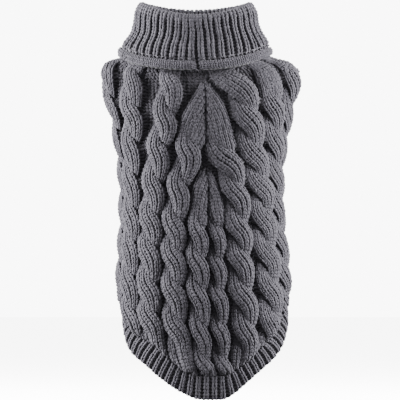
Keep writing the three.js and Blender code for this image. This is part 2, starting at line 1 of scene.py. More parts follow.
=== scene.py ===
"""A cable-knit dog sweater, filled out and standing upright as if worn, seen from its back.

Lengths are millimetres while a piece is worked out and metres once it is a mesh. +Z is up, the back
of the garment faces -Y and the belly +Y. An angle round the body is in degrees: 0 at the middle of
the back, 90 on the right, -90 on the left and 180 at the middle of the belly.
"""
import logging
import math
from dataclasses import dataclass, field
from enum import Enum

import bpy
import numpy as np
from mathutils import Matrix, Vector, kdtree


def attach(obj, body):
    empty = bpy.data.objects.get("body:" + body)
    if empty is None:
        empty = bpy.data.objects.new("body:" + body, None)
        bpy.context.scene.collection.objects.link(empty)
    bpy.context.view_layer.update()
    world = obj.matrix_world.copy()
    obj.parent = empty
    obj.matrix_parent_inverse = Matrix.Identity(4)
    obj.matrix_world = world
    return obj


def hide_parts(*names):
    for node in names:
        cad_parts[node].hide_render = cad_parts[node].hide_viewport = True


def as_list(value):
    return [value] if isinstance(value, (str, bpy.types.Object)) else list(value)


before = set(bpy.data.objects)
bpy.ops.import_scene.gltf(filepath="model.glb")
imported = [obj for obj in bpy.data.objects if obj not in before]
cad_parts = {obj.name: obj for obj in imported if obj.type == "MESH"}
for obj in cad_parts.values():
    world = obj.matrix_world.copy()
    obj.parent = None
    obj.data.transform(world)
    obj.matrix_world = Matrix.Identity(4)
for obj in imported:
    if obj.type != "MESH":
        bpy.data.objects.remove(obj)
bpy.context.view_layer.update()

log = logging.getLogger("sweater")

MM = 0.001
WALL = 3.0  # thickness of the fabric
SINK = 0.9  # how far the cloth lies below the middles of its stitches
CABLE_RISE = 7.0  # how far a full cable stands up
SIDE_SEAM = 112.0  # degrees from the middle of the back to a side seam
NECK = 12.0  # height of the neck seam
ROW = 3.5  # height of one row of stitches
WALE = 4.2  # width of one column of stitches
STRAND_ARC = 15.4  # mm over a full-size strand from one foot to the other


class Curve:
    """A smooth line through points that never swings past them."""

    def __init__(self, keys: list[float], values: list[float]) -> None:
        """Sorts the points and works out a slope at each.

        Args:
            keys: Where the points are.
            values: The value at each.
        """
        order = np.argsort(keys)
        self.keys = np.array(keys, float)[order]
        self.values = np.array(values, float)[order]
        steps = np.diff(self.values) / np.diff(self.keys)
        slopes = np.concatenate([steps[:1], np.zeros(len(steps) - 1), steps[-1:]])
        before, after = steps[:-1], steps[1:]
        total = np.where(before + after == 0, 1.0, before + after)
        slopes[1:-1] = np.where(before * after > 0, 2 * before * after / total, 0.0)
        self.slopes = slopes

    def __call__(self, at: np.ndarray) -> np.ndarray:
        """Gives the value at each place, held at the first and last points beyond them.

        Args:
            at: Any array of places.

        Returns:
            The values, in the same shape.
        """
        k = np.clip(np.asarray(at, float), self.keys[0], self.keys[-1])
        i = np.clip(np.searchsorted(self.keys, k, side="right") - 1, 0, len(self.keys) - 2)
        width = self.keys[i + 1] - self.keys[i]
        t = (k - self.keys[i]) / width
        u = 1 - t
        ends = self.values[i] * (1 + 2 * t) * u * u + self.values[i + 1] * (3 - 2 * t) * t * t
        return ends + width * t * u * (self.slopes[i] * u - self.slopes[i + 1] * t)


def table(columns: list[str], rows: list[list[float]]) -> dict[str, Curve]:
    """Reads rows of plain numbers with named columns.

    Args:
        columns: The names, the first of which is the key.
        rows: The numbers.

    Returns:
        Each further column as a smooth function of the first.
    """
    keys = [row[0] for row in rows]
    return {name: Curve(keys, [row[i] for row in rows]) for i, name in enumerate(columns) if i}


def ease(start: float, end: float, at: np.ndarray) -> np.ndarray:
    """A smooth step from 0 at start to 1 at end.

    Args:
        start: Where it leaves 0.
        end: Where it reaches 1, on either side of start.
        at: The places.

    Returns:
        The step's value at each place.
    """
    t = np.clip((np.asarray(at, float) - start) / (end - start), 0, 1)
    return t * t * (3 - 2 * t)


def unit(vectors: np.ndarray) -> np.ndarray:
    """Brings vectors to length 1."""
    return vectors / np.maximum(np.linalg.norm(vectors, axis=-1, keepdims=True), 1e-9)


@dataclass
class Form:
    """A tube whose sections come from a table of left, right, back and belly."""

    rows: dict[str, Curve]

    def point(self, angle: np.ndarray, z: np.ndarray) -> np.ndarray:
        """The point on the tube at an angle and a height, in mm."""
        left, right = self.rows["left"](z), self.rows["right"](z)
        turn = np.radians(angle)
        depth = np.where(np.cos(turn) > 0, self.rows["back"](z), self.rows["belly"](z))
        x = (left + right) / 2 + (right - left) / 2 * np.sin(turn)
        return np.stack(np.broadcast_arrays(x, -depth * np.cos(turn), z), axis=-1)

    def normal(self, angle: np.ndarray, z: np.ndarray) -> np.ndarray:
        """The direction straight out of the tube."""
        round_it = self.point(angle + 0.5, z) - self.point(angle - 0.5, z)
        up = self.point(angle, z + 0.5) - self.point(angle, z - 0.5)
        return unit(np.cross(round_it, up))

    def lifted(self, angle: np.ndarray, z: np.ndarray, lift: np.ndarray) -> np.ndarray:
        """The point at a distance straight out of the tube."""
        return self.point(angle, z) + self.normal(angle, z) * np.asarray(lift)[..., None]

    def per_degree(self, angle: np.ndarray, z: np.ndarray) -> np.ndarray:
        """Millimetres round the tube for one degree."""
        apart = self.point(angle + 0.5, z) - self.point(angle - 0.5, z)
        return np.linalg.norm(apart, axis=-1)


SECTION = ["z", "left", "right", "back", "belly"]
BODY = Form(table(SECTION, [
    [12, -58, 55, 42, 40],
    [8, -66, 62, 43.5, 41.5],
    [3, -76, 72, 45, 43.5],
    [-1, -85, 82, 46.5, 45],
    [-5, -92, 92, 48, 47],
    [-12, -96.5, 99.5, 51, 50],
    [-20, -95.5, 98, 54, 53],
    [-36, -90.5, 91.5, 58, 56],
    [-60, -82, 84, 59, 58],
    [-84, -78, 79.5, 58, 56],
    [-108, -74.5, 76.5, 56, 53],
    [-140, -73, 76.5, 54, 50],
    [-172, -73.5, 78.5, 53, 49],
    [-204, -75.5, 82.5, 53, 49],
    [-236, -76, 84.5, 52, 48],
    [-260, -75, 85.5, 50, 46],
    [-284, -71.5, 81.5, 47, 42],
    [-312, -63, 73, 44, 38],
    [-340, -58, 68, 41, 34],
]))
HEM = table(["angle", "seam", "edge_angle", "edge"], [
    [-180, -198, -180, -218],
    [-140, -199, -143, -219],
    [-115, -206, -125, -226],
    [-97, -224, -112, -242],
    [-80, -248, -99, -263],
    [-68, -268, -87, -283],
    [-52, -277, -71, -296],
    [-41, -284, -59, -303],
    [-32, -294, -46, -314],
    [-25, -302, -35, -322],
    [-17, -311, -22, -331],
    [-2, -314, -3, -338.5],
    [14, -314, 16, -338.5],
    [24, -310, 32, -328],
    [30, -305, 40, -321],
    [37, -299, 48, -314],
    [44, -289, 60, -305],
    [52, -280, 75, -294],
    [63, -266, 90, -280],
    [78, -245, 100, -262],
    [95, -223, 112, -241],
    [115, -205, 125, -225],
    [140, -198, 143, -218],
    [180, -198, 180, -218],
    [220, -199, 217, -219],
    [245, -206, 235, -226],
    [263, -224, 248, -242],
])


def linear(code: str) -> tuple[float, float, float, float]:
    """Turns an sRGB hex colour into linear values.

    Args:
        code: Six hex digits.

    Returns:
        Red, green, blue and alpha.
    """
    parts = [int(code[i:i + 2], 16) / 255 for i in (0, 2, 4)]
    return (*[c / 12.92 if c <= 0.04045 else ((c + 0.055) / 1.055) ** 2.4 for c in parts], 1.0)


def add_node(tree: bpy.types.NodeTree, kind: str, links: dict | None = None,
             **settings: object) -> bpy.types.Node:
    """Adds one node with its settings and its links.

    Args:
        tree: The material's node tree.
        kind: The node's type.
        links: For each input's name or number, an output to link or a value to set.
        **settings: The node's own settings.

    Returns:
        The node.
    """
    node = tree.nodes.new(kind)
    for name, value in settings.items():
        setattr(node, name, value)
    for name, value in (links or {}).items():
        if isinstance(value, bpy.types.NodeSocket):
            tree.links.new(value, node.inputs[name])
        else:
            node.inputs[name].default_value = value
    return node


@dataclass(frozen=True)
class KnitFinish:
    """What all finishes of the charcoal yarn share: a matt surface with a soft sheen of fibres."""

    name: str
    shade: str  # its darkest tone
    light: str  # its lightest tone

    def start(self) -> bpy.types.Material:
        """Makes the material that the nodes go into."""
        material = bpy.data.materials.new(self.name)
        material.use_nodes = True
        return material

    def surface(self, material: bpy.types.Material, tone: bpy.types.Node,
                span: tuple[float, float], bump: dict[str, object], sheen: float) -> bpy.types.Node:
        """Colours the surface and gives it its relief.

        Args:
            material: The material.
            tone: The node that says how light a place is.
            span: The tones at which the darkest shade ends and the lightest starts.
            bump: The height of the surface, the strength of the relief and its depth.
            sheen: How much light the loose fibres catch.

        Returns:
            The surface's shader.
        """
        tree = material.node_tree
        shader = tree.nodes["Principled BSDF"]
        ramp = add_node(tree, "ShaderNodeValToRGB", {0: tone.outputs[0]})
        for stop, place, code in zip(ramp.color_ramp.elements, span, (self.shade, self.light)):
            stop.position = place
            stop.color = linear(code)
        relief = add_node(tree, "ShaderNodeBump", bump)
        tree.links.new(ramp.outputs["Color"], shader.inputs["Base Color"])
        tree.links.new(relief.outputs["Normal"], shader.inputs["Normal"])
        for name, value in (("Roughness", 0.95), ("Specular IOR Level", 0.2),
                            ("Sheen Weight", sheen), ("Sheen Roughness", 0.6)):
            shader.inputs[name].default_value = value
        return shader


@dataclass(frozen=True)
class YarnFinish(KnitFinish):
    """Worsted-spun acrylic yarn, dyed charcoal before knitting.

    Plied and brushed yarn gives a matt surface with soft fibres that catch light at grazing angles,
    a slight heather of lighter and darker fibres, and the slanting lines of its plies.
    """

    sheen: float
    ply: float = 1.2  # mm from one ply line to the next along the yarn
    fibre: float = 0.5  # mm, drawn coarser than a real fibre of 0.02 mm so that it shows
    heather: float = 9.0  # mm from one lighter patch to the next
    relief: float = 0.5

    def build(self) -> bpy.types.Material:
        """Makes the material.

        Returns:
            The material, which reads Object coordinates and the attribute yarn.
        """
        material = self.start()
        tree = material.node_tree
        place = add_node(tree, "ShaderNodeTexCoord")
        yarn = add_node(tree, "ShaderNodeAttribute", attribute_name="yarn")
        parts = add_node(tree, "ShaderNodeSeparateXYZ", {0: yarn.outputs["Vector"]})
        fibres = add_node(tree, "ShaderNodeTexNoise", {
            "Vector": place.outputs["Object"], "Scale": 1 / (self.fibre * MM), "Detail": 2.0})
        heather = add_node(tree, "ShaderNodeTexNoise", {
            "Vector": place.outputs["Object"], "Scale": 1 / (self.heather * MM), "Detail": 3.0})
        tone = add_node(tree, "ShaderNodeMath", {
            0: parts.outputs["Z"], 1: 0.55, 2: 0.0}, operation="MULTIPLY_ADD")
        for noise, weight in ((fibres, 0.5), (heather, 0.4)):
            tone = add_node(tree, "ShaderNodeMath", {
                0: noise.outputs["Fac"], 1: weight, 2: tone.outputs[0]}, operation="MULTIPLY_ADD")
        twist = add_node(tree, "ShaderNodeMath", {
            0: parts.outputs["X"], 1: 0.9, 2: parts.outputs["Y"]}, operation="MULTIPLY_ADD")
        turns = add_node(tree, "ShaderNodeMath", {
            0: twist.outputs[0], 1: 2 * math.pi / self.ply}, operation="MULTIPLY")
        plies = add_node(tree, "ShaderNodeMath", {0: turns.outputs[0]}, operation="SINE")
        height = add_node(tree, "ShaderNodeMath", {
            0: plies.outputs[0], 1: 0.35, 2: fibres.outputs["Fac"]}, operation="MULTIPLY_ADD")
        shader = self.surface(material, tone, (0.35, 1.0), {
            "Height": height.outputs[0], "Strength": self.relief, "Distance": 0.3 * MM}, self.sheen)
        shader.inputs["Sheen Tint"].default_value = linear("b9b7c0")
        return material


@dataclass(frozen=True)
class ClothFinish(KnitFinish):
    """The same yarn seen as cloth: wavy rows of loop backs, with painted shade between them and
    painted light on their tops.
    """

    relief: float
    fibre: float = 0.6  # mm, the size of its mottle
    sheen: float = 0.05

    def build(self) -> bpy.types.Material:
        """Makes the material.

        Returns:
            The material, which reads Object coordinates and the attribute yarn.
        """
        material = self.start()
        tree = material.node_tree
        place = add_node(tree, "ShaderNodeTexCoord")
        cloth = add_node(tree, "ShaderNodeAttribute", attribute_name="yarn")
        parts = add_node(tree, "ShaderNodeSeparateXYZ", {0: cloth.outputs["Vector"]})
        wales = add_node(tree, "ShaderNodeMath", {
            0: parts.outputs["X"], 1: 2 * math.pi / WALE}, operation="MULTIPLY")
        wave = add_node(tree, "ShaderNodeMath", {0: wales.outputs[0]}, operation="SINE")
        rows = add_node(tree, "ShaderNodeMath", {
            0: parts.outputs["Y"], 1: 2 * math.pi / ROW}, operation="MULTIPLY")
        rows = add_node(tree, "ShaderNodeMath", {
            0: wave.outputs[0], 1: 1.1, 2: rows.outputs[0]}, operation="MULTIPLY_ADD")
        loops = add_node(tree, "ShaderNodeMath", {0: rows.outputs[0]}, operation="SINE")
        fibres = add_node(tree, "ShaderNodeTexNoise", {
            "Vector": place.outputs["Object"], "Scale": 1 / (self.fibre * MM), "Detail": 2.0})
        height = add_node(tree, "ShaderNodeMath", {
            0: loops.outputs[0], 1: 0.5, 2: fibres.outputs["Fac"]}, operation="MULTIPLY_ADD")
        # The loops' height also colours the cloth: painted shade between the loops and painted
        # light on their tops.
        self.surface(material, height, (0.1, 0.95), {
            "Height": height.outputs[0], "Strength": self.relief, "Distance": 0.9 * MM}, self.sheen)
        return material


def mesh_piece(name: str, points: np.ndarray, faces: np.ndarray, yarn: np.ndarray,
               material: bpy.types.Material) -> bpy.types.Object:
    """Makes one smooth-shaded object in its place.

    Args:
        name: The object's name.
        points: Points in mm.
        faces: Corner numbers, three or four to a face.
        yarn: For each point, mm across and along the yarn and a random tone.
        material: Its finish.

    Returns:
        The object, at the origin.
    """
    mesh = bpy.data.meshes.new(name)
    count, corners = faces.shape
    mesh.vertices.add(len(points))
    mesh.vertices.foreach_set("co", (points * MM).astype(np.float32).ravel())
    mesh.loops.add(count * corners)
    mesh.loops.foreach_set("vertex_index", faces.astype(np.int32).ravel())
    mesh.polygons.add(count)
    mesh.polygons.foreach_set("loop_start", np.arange(count, dtype=np.int32) * corners)
    mesh.polygons.foreach_set("use_smooth", np.ones(count, bool))
    mesh.update(calc_edges=True)
    attribute = mesh.attributes.new("yarn", "FLOAT_VECTOR", "POINT")
    attribute.data.foreach_set("vector", yarn.astype(np.float32).ravel())
    mesh.materials.append(material)
    piece = bpy.data.objects.new(name, mesh)
    bpy.context.scene.collection.objects.link(piece)
    return piece


@dataclass
class Grain:
    """The part of a loop that shows: one grain of yarn that dives into the fabric at both ends."""

    sides: int = 6
    rings: int = 4
    fullness: float = 1.16
    bend: float = 0.55  # how far the ends dive, as a share of the grain's height

    def make(self) -> tuple[np.ndarray, np.ndarray]:
        """Models one grain of size 2 along Y, fuller than a ball towards its ends.

        Returns:
            Its points and its triangles.
        """
        bpy.ops.object.select_all(action="DESELECT")
        bpy.ops.mesh.primitive_uv_sphere_add(
            segments=self.sides, ring_count=self.rings, radius=1, rotation=(math.pi / 2, 0, 0))
        grain = bpy.context.object
        bpy.ops.object.transform_apply(location=False, rotation=True, scale=False)
        for v in grain.data.vertices:
            v.select = abs(v.co.y) > 0.3
        bpy.ops.object.mode_set(mode="EDIT")
        bpy.ops.transform.resize(value=(self.fullness, 1, self.fullness))
        bpy.ops.mesh.quads_convert_to_tris()
        bpy.ops.object.mode_set(mode="OBJECT")
        points = np.array([v.co for v in grain.data.vertices], float)
        faces = np.array([list(p.vertices) for p in grain.data.polygons])
        points[:, 2] -= self.bend * points[:, 1] ** 2
        mesh = grain.data
        bpy.data.objects.remove(grain)
        bpy.data.meshes.remove(mesh)
        return points, faces


@dataclass
class StitchBed:
    """Gathers the grains of one sewn piece and makes them one mesh."""

    name: str
    grain: tuple[np.ndarray, np.ndarray]
    lows: list[np.ndarray] = field(default_factory=list)
    highs: list[np.ndarray] = field(default_factory=list)
    outs: list[np.ndarray] = field(default_factory=list)
    sizes: list[np.ndarray] = field(default_factory=list)
    stretch: float = 0.05  # the unevenness of a grain's length
    stray: float = 0.12  # mm that it strays from its place
    swell: float = 0.06  # the unevenness of its thickness
    heather: float = 0.1  # the unevenness of its tone

    def add(self, low: np.ndarray, high: np.ndarray, out: np.ndarray,
            width: float | np.ndarray, height: float, keep: np.ndarray | None = None) -> None:
        """Adds grains.

        Args:
            low: One end of each, in mm.
            high: The other end.
            out: The direction straight out of the fabric.
            width: How wide a grain is.
            height: How far it stands up.
            keep: Which of them show.
        """
        size = np.stack([np.broadcast_to(side, low.shape[:-1]).ravel() for side in (width, height)],
                        axis=1)
        low, high, out = (a.reshape(-1, 3) for a in (low, high, out))
        if keep is not None:
            chosen = keep.reshape(-1)
            low, high, out, size = low[chosen], high[chosen], out[chosen], size[chosen]
        self.lows.append(low)
        self.highs.append(high)
        self.outs.append(out)
        self.sizes.append(size)

    def build(self, material: bpy.types.Material, seed: int) -> bpy.types.Object:
        """Copies the grain to every place, each a little different.

        Args:
            material: The yarn's finish.
            seed: Makes the unevenness the same each run.

        Returns:
            The joined grains.
        """
        low, high, out = (np.concatenate(a) for a in (self.lows, self.highs, self.outs))
        size = np.concatenate(self.sizes)
        chance = np.random.default_rng(seed)
        shake = chance.normal(0, 1, (len(low), 5))
        middle = (low + high) / 2
        along = (high - low) / 2 * (1 + self.stretch * shake[:, :1])
        out = unit(out - unit(along) * np.sum(out * unit(along), axis=1, keepdims=True))
        across = np.cross(unit(along), out)
        middle = (middle + across * self.stray * shake[:, 1:2]
                  + out * self.stray * shake[:, 2:3])
        half = size / 2 * (1 + self.swell * shake[:, 3:4])
        shape, faces = self.grain
        points = (middle[:, None] + across[:, None] * shape[None, :, :1] * half[:, None, :1]
                  + along[:, None] * shape[None, :, 1:2]
                  + out[:, None] * shape[None, :, 2:] * half[:, None, 1:])
        reach = np.linalg.norm(along, axis=1)[:, None]
        tone = np.broadcast_to(0.5 + self.heather * shake[:, 4:5], (len(low), len(shape)))
        yarn = np.stack([shape[None, :, 0] * half[:, :1], shape[None, :, 1] * reach, tone], axis=-1)
        corners = faces[None] + (np.arange(len(low)) * len(shape))[:, None, None]
        return mesh_piece(self.name, points.reshape(-1, 3), corners.reshape(-1, 3),
                          yarn.reshape(-1, 3), material)


def shell(name: str, outer: np.ndarray, inner: np.ndarray, closed: bool,
          material: bpy.types.Material) -> bpy.types.Object:
    """A wall of cloth between two equal grids of points.

    Args:
        name: The object's name.
        outer: The outer grid, columns by rows, in mm.
        inner: The inner grid.
        closed: Whether the last column meets the first.
        material: Its finish.

    Returns:
        The closed shell.
    """
    columns, rows = outer.shape[:2]
    number = np.arange(columns * rows).reshape(columns, rows)
    if closed:
        number = np.vstack([number, number[:1]])
    offset = columns * rows

    def quads(a: np.ndarray, b: np.ndarray, c: np.ndarray, d: np.ndarray) -> np.ndarray:
        """Stacks four arrays of corners into faces."""
        return np.stack([a, b, c, d], axis=-1).reshape(-1, 4)

    a, b, c, d = number[:-1, :-1], number[1:, :-1], number[1:, 1:], number[:-1, 1:]
    faces = [quads(a, d, c, b), quads(a, b, c, d) + offset]
    top, foot = number[:, 0], number[:, -1]
    faces.append(quads(top[:-1], top[1:], top[1:] + offset, top[:-1] + offset))
    faces.append(quads(foot[:-1], foot[:-1] + offset, foot[1:] + offset, foot[1:]))
    if not closed:
        first, last = number[0], number[-1]
        faces.append(quads(first[:-1], first[:-1] + offset, first[1:] + offset, first[1:]))
        faces.append(quads(last[:-1], last[1:], last[1:] + offset, last[:-1] + offset))
    points = np.concatenate([outer.reshape(-1, 3), inner.reshape(-1, 3)])
    flat = np.concatenate(faces)
    p = points[flat]
    volume = np.sum(p[:, 0] * np.cross(p[:, 1] - p[:, 0], p[:, 2] - p[:, 0])
                    + p[:, 0] * np.cross(p[:, 2] - p[:, 0], p[:, 3] - p[:, 0]))
    if volume < 0:
        flat = flat[:, ::-1]
    steps = np.linalg.norm(np.diff(inner[:, rows // 2], axis=0), axis=1)
    across = np.broadcast_to(np.concatenate([[0], np.cumsum(steps)])[:, None], (columns, rows))
    along = np.zeros((columns, rows))
    along[:, 1:] = np.cumsum(np.linalg.norm(np.diff(inner, axis=1), axis=2), axis=1)
    yarn = np.stack([across, along, np.full((columns, rows), 0.5)], axis=-1).reshape(-1, 3)
    return mesh_piece(name, points, flat, np.concatenate([yarn, yarn]), material)


@dataclass
class Cable:
    """Two strands of three to five wales that cross each other down the fabric."""

    rows: dict[str, Curve]
    crossings: list[float]
    anchor: int = 0  # which edge the wales run along above the first crossing: -1, 0 or 1
    wales: int = 3  # columns of stitches on a strand
    pitch: float = WALE  # width of one of them
    lean: float = 0.0  # how far the left side sinks, in mm
    sharpness: float = 1.2  # how quickly the strands change sides
    swing: float = 0.215  # how far a strand goes aside, as a share of the cable's width
    half_width: float = 0.275  # half of a strand's width, as the same share
    half_change: float = 0.085  # how much that grows in front and shrinks behind
    late: float = 0.15  # how far past its turn a strand is highest
    middle_rise: float = 0.27  # the height of a strand's middle, as a share of the cable's rise
    turn_rise: float = 0.42  # how much that changes between front and behind
    half_thick: float = 0.52  # half of a strand's thickness, as the same share
    flat_rise: float = 0.62  # the height of the uncrossed cable, as the same share

    def __post_init__(self) -> None:
        """Works out the twist's line of heights."""
        first, last = self.crossings[0], self.crossings[-1]
        z = [first + 15, *self.crossings, last - 16]
        turns = [-0.5, *range(len(self.crossings)), len(self.crossings) - 0.5]
        self.turn_z = np.array(z[::-1], float)
        self.turns = np.array(turns[::-1], float)

    def phase(self, strand: int, z: np.ndarray) -> np.ndarray:
        """How far through its twist a strand is: even numbers where it passes in front."""
        return np.interp(z, self.turn_z, self.turns) - strand

    def flatness(self, z: np.ndarray) -> np.ndarray:
        """1 where the strands lie flat side by side above the first crossing, else 0."""
        return ease(self.crossings[0] + 5, self.crossings[0] + 22, z)

    def centre(self, strand: int, z: np.ndarray) -> np.ndarray:
        """How far a strand's middle is to the right of its cable's middle, in mm."""
        aside = np.tanh(self.sharpness * np.sin(math.pi * self.phase(strand, z)))
        return self.rows["width"](z) * self.swing * aside / math.tanh(self.sharpness)

    def slant(self, strand: int, z: np.ndarray) -> np.ndarray:
        """The angle of a strand's path from straight down, towards the right, in radians."""
        scale = BODY.per_degree(self.rows["angle"](z), z)
        drift = (self.rows["angle"](z - 1) - self.rows["angle"](z + 1)) * scale
        return np.arctan((drift + self.centre(strand, z - 1) - self.centre(strand, z + 1)) / 2)

    def height(self, strand: int, z: np.ndarray) -> np.ndarray:
        """How far the middle of a strand's section is above the ground."""
        turn = np.cos(math.pi * (self.phase(strand, z) - self.late))
        sink = self.lean * np.clip(-self.centre(strand, z) / (self.rows["width"](z) * 0.2), 0, 1)
        share = self.middle_rise + self.turn_rise * turn
        return CABLE_RISE * self.rows["rise"](z) * share - sink

    def thickness(self, z: np.ndarray) -> np.ndarray:
        """Half of a strand's thickness."""
        return CABLE_RISE * self.rows["rise"](z) * self.half_thick

    def half(self, strand: int, z: np.ndarray) -> np.ndarray:
        """Half of a strand's width, less where it passes behind."""
        change = self.half_change * np.cos(math.pi * self.phase(strand, z))
        return self.rows["width"](z) * (self.half_width + change)

    def flat_height(self, x: np.ndarray, z: np.ndarray) -> np.ndarray:
        """The height of the uncrossed cable at a distance from its middle."""
        off = np.clip(np.abs(x) / (self.rows["width"](z) / 2), 0, 1)
        return CABLE_RISE * self.rows["rise"](z) * self.flat_rise * np.sqrt(1 - off ** 4)

    def field(self, strand: int, x: np.ndarray, z: np.ndarray) -> np.ndarray:
        """The height of one strand over any place beside its cable's middle."""
        half = self.half(strand, z) / np.cos(self.slant(strand, z))
        off = np.clip(np.abs(x - self.centre(strand, z)) / half, 0, 1)
        round_top = self.height(strand, z) + self.thickness(z) * np.sqrt(1 - off ** 2)
        round_top = np.where(off < 1, round_top, 0)
        flat = self.flatness(z)
        return (1 - flat) * round_top + flat * self.flat_height(x, z)

    def beside(self, angle: np.ndarray, z: np.ndarray) -> np.ndarray:
        """Millimetres from the cable's middle to a place round the body."""
        middle = self.rows["angle"](z)
        return (angle - middle) * BODY.per_degree(middle, z)

    def top(self, angle: np.ndarray, z: np.ndarray) -> np.ndarray:
        """The height of the whole cable over any place."""
        x = self.beside(angle, z)
        return np.maximum(self.field(0, x, z), self.field(1, x, z))


CABLE = ["z", "angle", "width", "rise"]
CABLES = {
    "side_left": Cable(table(CABLE, [
        [10, -66, 14, 0.2], [-6, -69, 21, 0.8], [-20, -72, 24, 1], [-50, -79, 27, 1],
        [-90, -88, 28, 1], [-130, -91, 28, 1], [-240, -91, 28, 1],
    ]), [-8, -40, -74, -108, -142, -176, -210], wales=4),
    "outer_left": Cable(table(CABLE, [
        [10, -40, 13, 0.2], [-12, -42.5, 20, 0.8], [-30, -47, 27, 1], [-70, -55.5, 30, 1],
        [-105, -64, 31, 1], [-140, -66.5, 31, 1], [-265, -66.5, 31, 1],
    ]), [-20, -52, -86, -120, -154, -187, -221, -255], wales=4),
    "mid_left": Cable(table(CABLE, [
        [10, -17, 13, 0.2], [-12, -17.8, 20, 0.7], [-30, -19.3, 26, 1], [-60, -25, 27, 1],
        [-75, -28.2, 27, 1], [-105, -35, 28, 1], [-140, -40, 28, 1], [-170, -42, 28, 1],
        [-240, -42.5, 28, 1], [-285, -41.5, 27, 1],
    ]), [-24, -59, -91, -127, -160, -192, -228, -258], wales=4),
    "inner_left": Cable(table(CABLE, [
        [10, 1, 1, 0], [-19, 1.2, 1, 0], [-25, 0.9, 4, 0.4], [-31, 0.4, 7.5, 0.7],
        [-38, -0.6, 12.5, 0.9], [-50, -3.3, 18, 1], [-60, -5, 23.5, 1], [-75, -6.7, 28, 1],
        [-90, -8.2, 29, 1], [-100, -10.5, 28, 1], [-110, -13, 26, 1], [-130, -17.8, 25.5, 1],
        [-145, -19.8, 25.5, 1], [-180, -21.7, 25.5, 1], [-250, -21.4, 26, 1],
        [-290, -19.2, 25, 1], [-310, -16, 22, 1],
    ]), [-92, -130, -166, -197, -231, -267], anchor=-1, pitch=4.0, wales=4),
    "pleat_left": Cable(table(CABLE, [
        [10, 2.2, 0.8, 0], [-104, 2.2, 0.8, 0], [-112, 1, 5, 0.4], [-122, 0, 12, 0.8],
        [-140, -2, 16.5, 0.95], [-165, -3.4, 18.5, 1], [-180, -3.9, 21, 1],
        [-210, -4.4, 22.5, 1], [-250, -4, 21, 1], [-290, -2.6, 19, 1], [-310, 1.4, 17, 1],
    ]), [-172, -202, -235, -272, -304], anchor=-1, pitch=3.8),
    "pleat_right": Cable(table(CABLE, [
        [10, 3.4, 0.8, 0], [-104, 3.4, 0.8, 0], [-112, 6.2, 3, 0.25], [-122, 7.8, 7, 0.6],
        [-140, 10.6, 13.5, 0.8], [-160, 11, 16.5, 0.85], [-180, 9.8, 18, 0.85],
        [-210, 8.9, 19.5, 0.85], [-250, 9.3, 20, 0.9], [-290, 11.2, 19, 0.95],
        [-310, 15.2, 17.5, 0.95],
    ]), [-172, -203, -234, -268, -303], anchor=1, pitch=3.7, lean=3.5),
    "inner_right": Cable(table(CABLE, [
        [10, 3.6, 1, 0], [-19, 3.6, 1, 0], [-25, 4, 4, 0.4], [-31, 5, 7.5, 0.7],
        [-38, 7, 13, 0.9], [-58, 11, 22, 1], [-80, 13.8, 28, 1], [-95, 16.5, 32, 1],
        [-105, 20, 29, 1], [-115, 23, 26, 1], [-140, 27, 26.5, 1], [-180, 27.4, 27, 1],
        [-210, 26.6, 27, 1], [-250, 28.8, 27, 1], [-286, 30.2, 26, 1], [-302, 31, 24, 1],
    ]), [-100, -133, -169, -200, -236, -272], anchor=1, pitch=4.0, wales=4),
    "mid_right": Cable(table(CABLE, [
        [10, 8, 12, 0.2], [-12, 12, 24, 0.8], [-30, 23, 29, 1], [-50, 31, 31, 1],
        [-80, 37.7, 31, 1], [-105, 44.3, 30, 1], [-140, 52, 30, 1], [-180, 52.3, 30, 1],
        [-250, 53, 29, 1], [-285, 50, 26, 1],
    ]), [-26, -59, -95, -127, -160, -195, -230, -264], wales=5),
    "outer_right": Cable(table(CABLE, [
        [10, 34, 14, 0.2], [-8, 38, 20, 0.7], [-30, 48, 25, 1], [-70, 60.5, 27, 1],
        [-100, 69, 28, 1], [-140, 74, 28, 1], [-250, 75, 28, 1],
    ]), [-47, -82, -115, -145, -180, -215, -245], wales=4),
    "side_right": Cable(table(CABLE, [
        [10, 58, 14, 0.2], [-6, 62, 20, 0.8], [-40, 73, 25, 1], [-80, 86, 27, 1],
        [-120, 96, 27, 1], [-230, 96, 27, 1],
    ]), [-20, -54, -88, -122, -156, -190, -222], wales=4),
}


def collar_edge(angle: np.ndarray) -> np.ndarray:
    """The height of the collar's turned edge round the neck."""
    facing = np.cos(np.radians(angle))
    power = np.where(np.sin(np.radians(angle)) < 0, 1.2, 2.0)
    behind = 5.5 - 7 * np.abs(facing) ** 1.5
    return np.where(facing < 0, behind, 5.5 - 15.5 * np.abs(facing) ** power)


def row_levels(top: float, foot: float) -> np.ndarray:
    """The heights of rows of stitches, closer together where the shoulders slope.

    Args:
        top: The height of the first row, in mm.
        foot: The height that the last row reaches.

    Returns:
        The heights, one row of fabric apart at the sides of the body.
    """
    levels = [top]
    while levels[-1] > foot:
        ends = np.array([levels[-1], levels[-1] - 1])
        run = np.linalg.norm(np.diff(BODY.point(np.array([90.0, 90.0]), ends), axis=0))
        levels.append(levels[-1] - ROW / float(run))
    return np.array(levels)


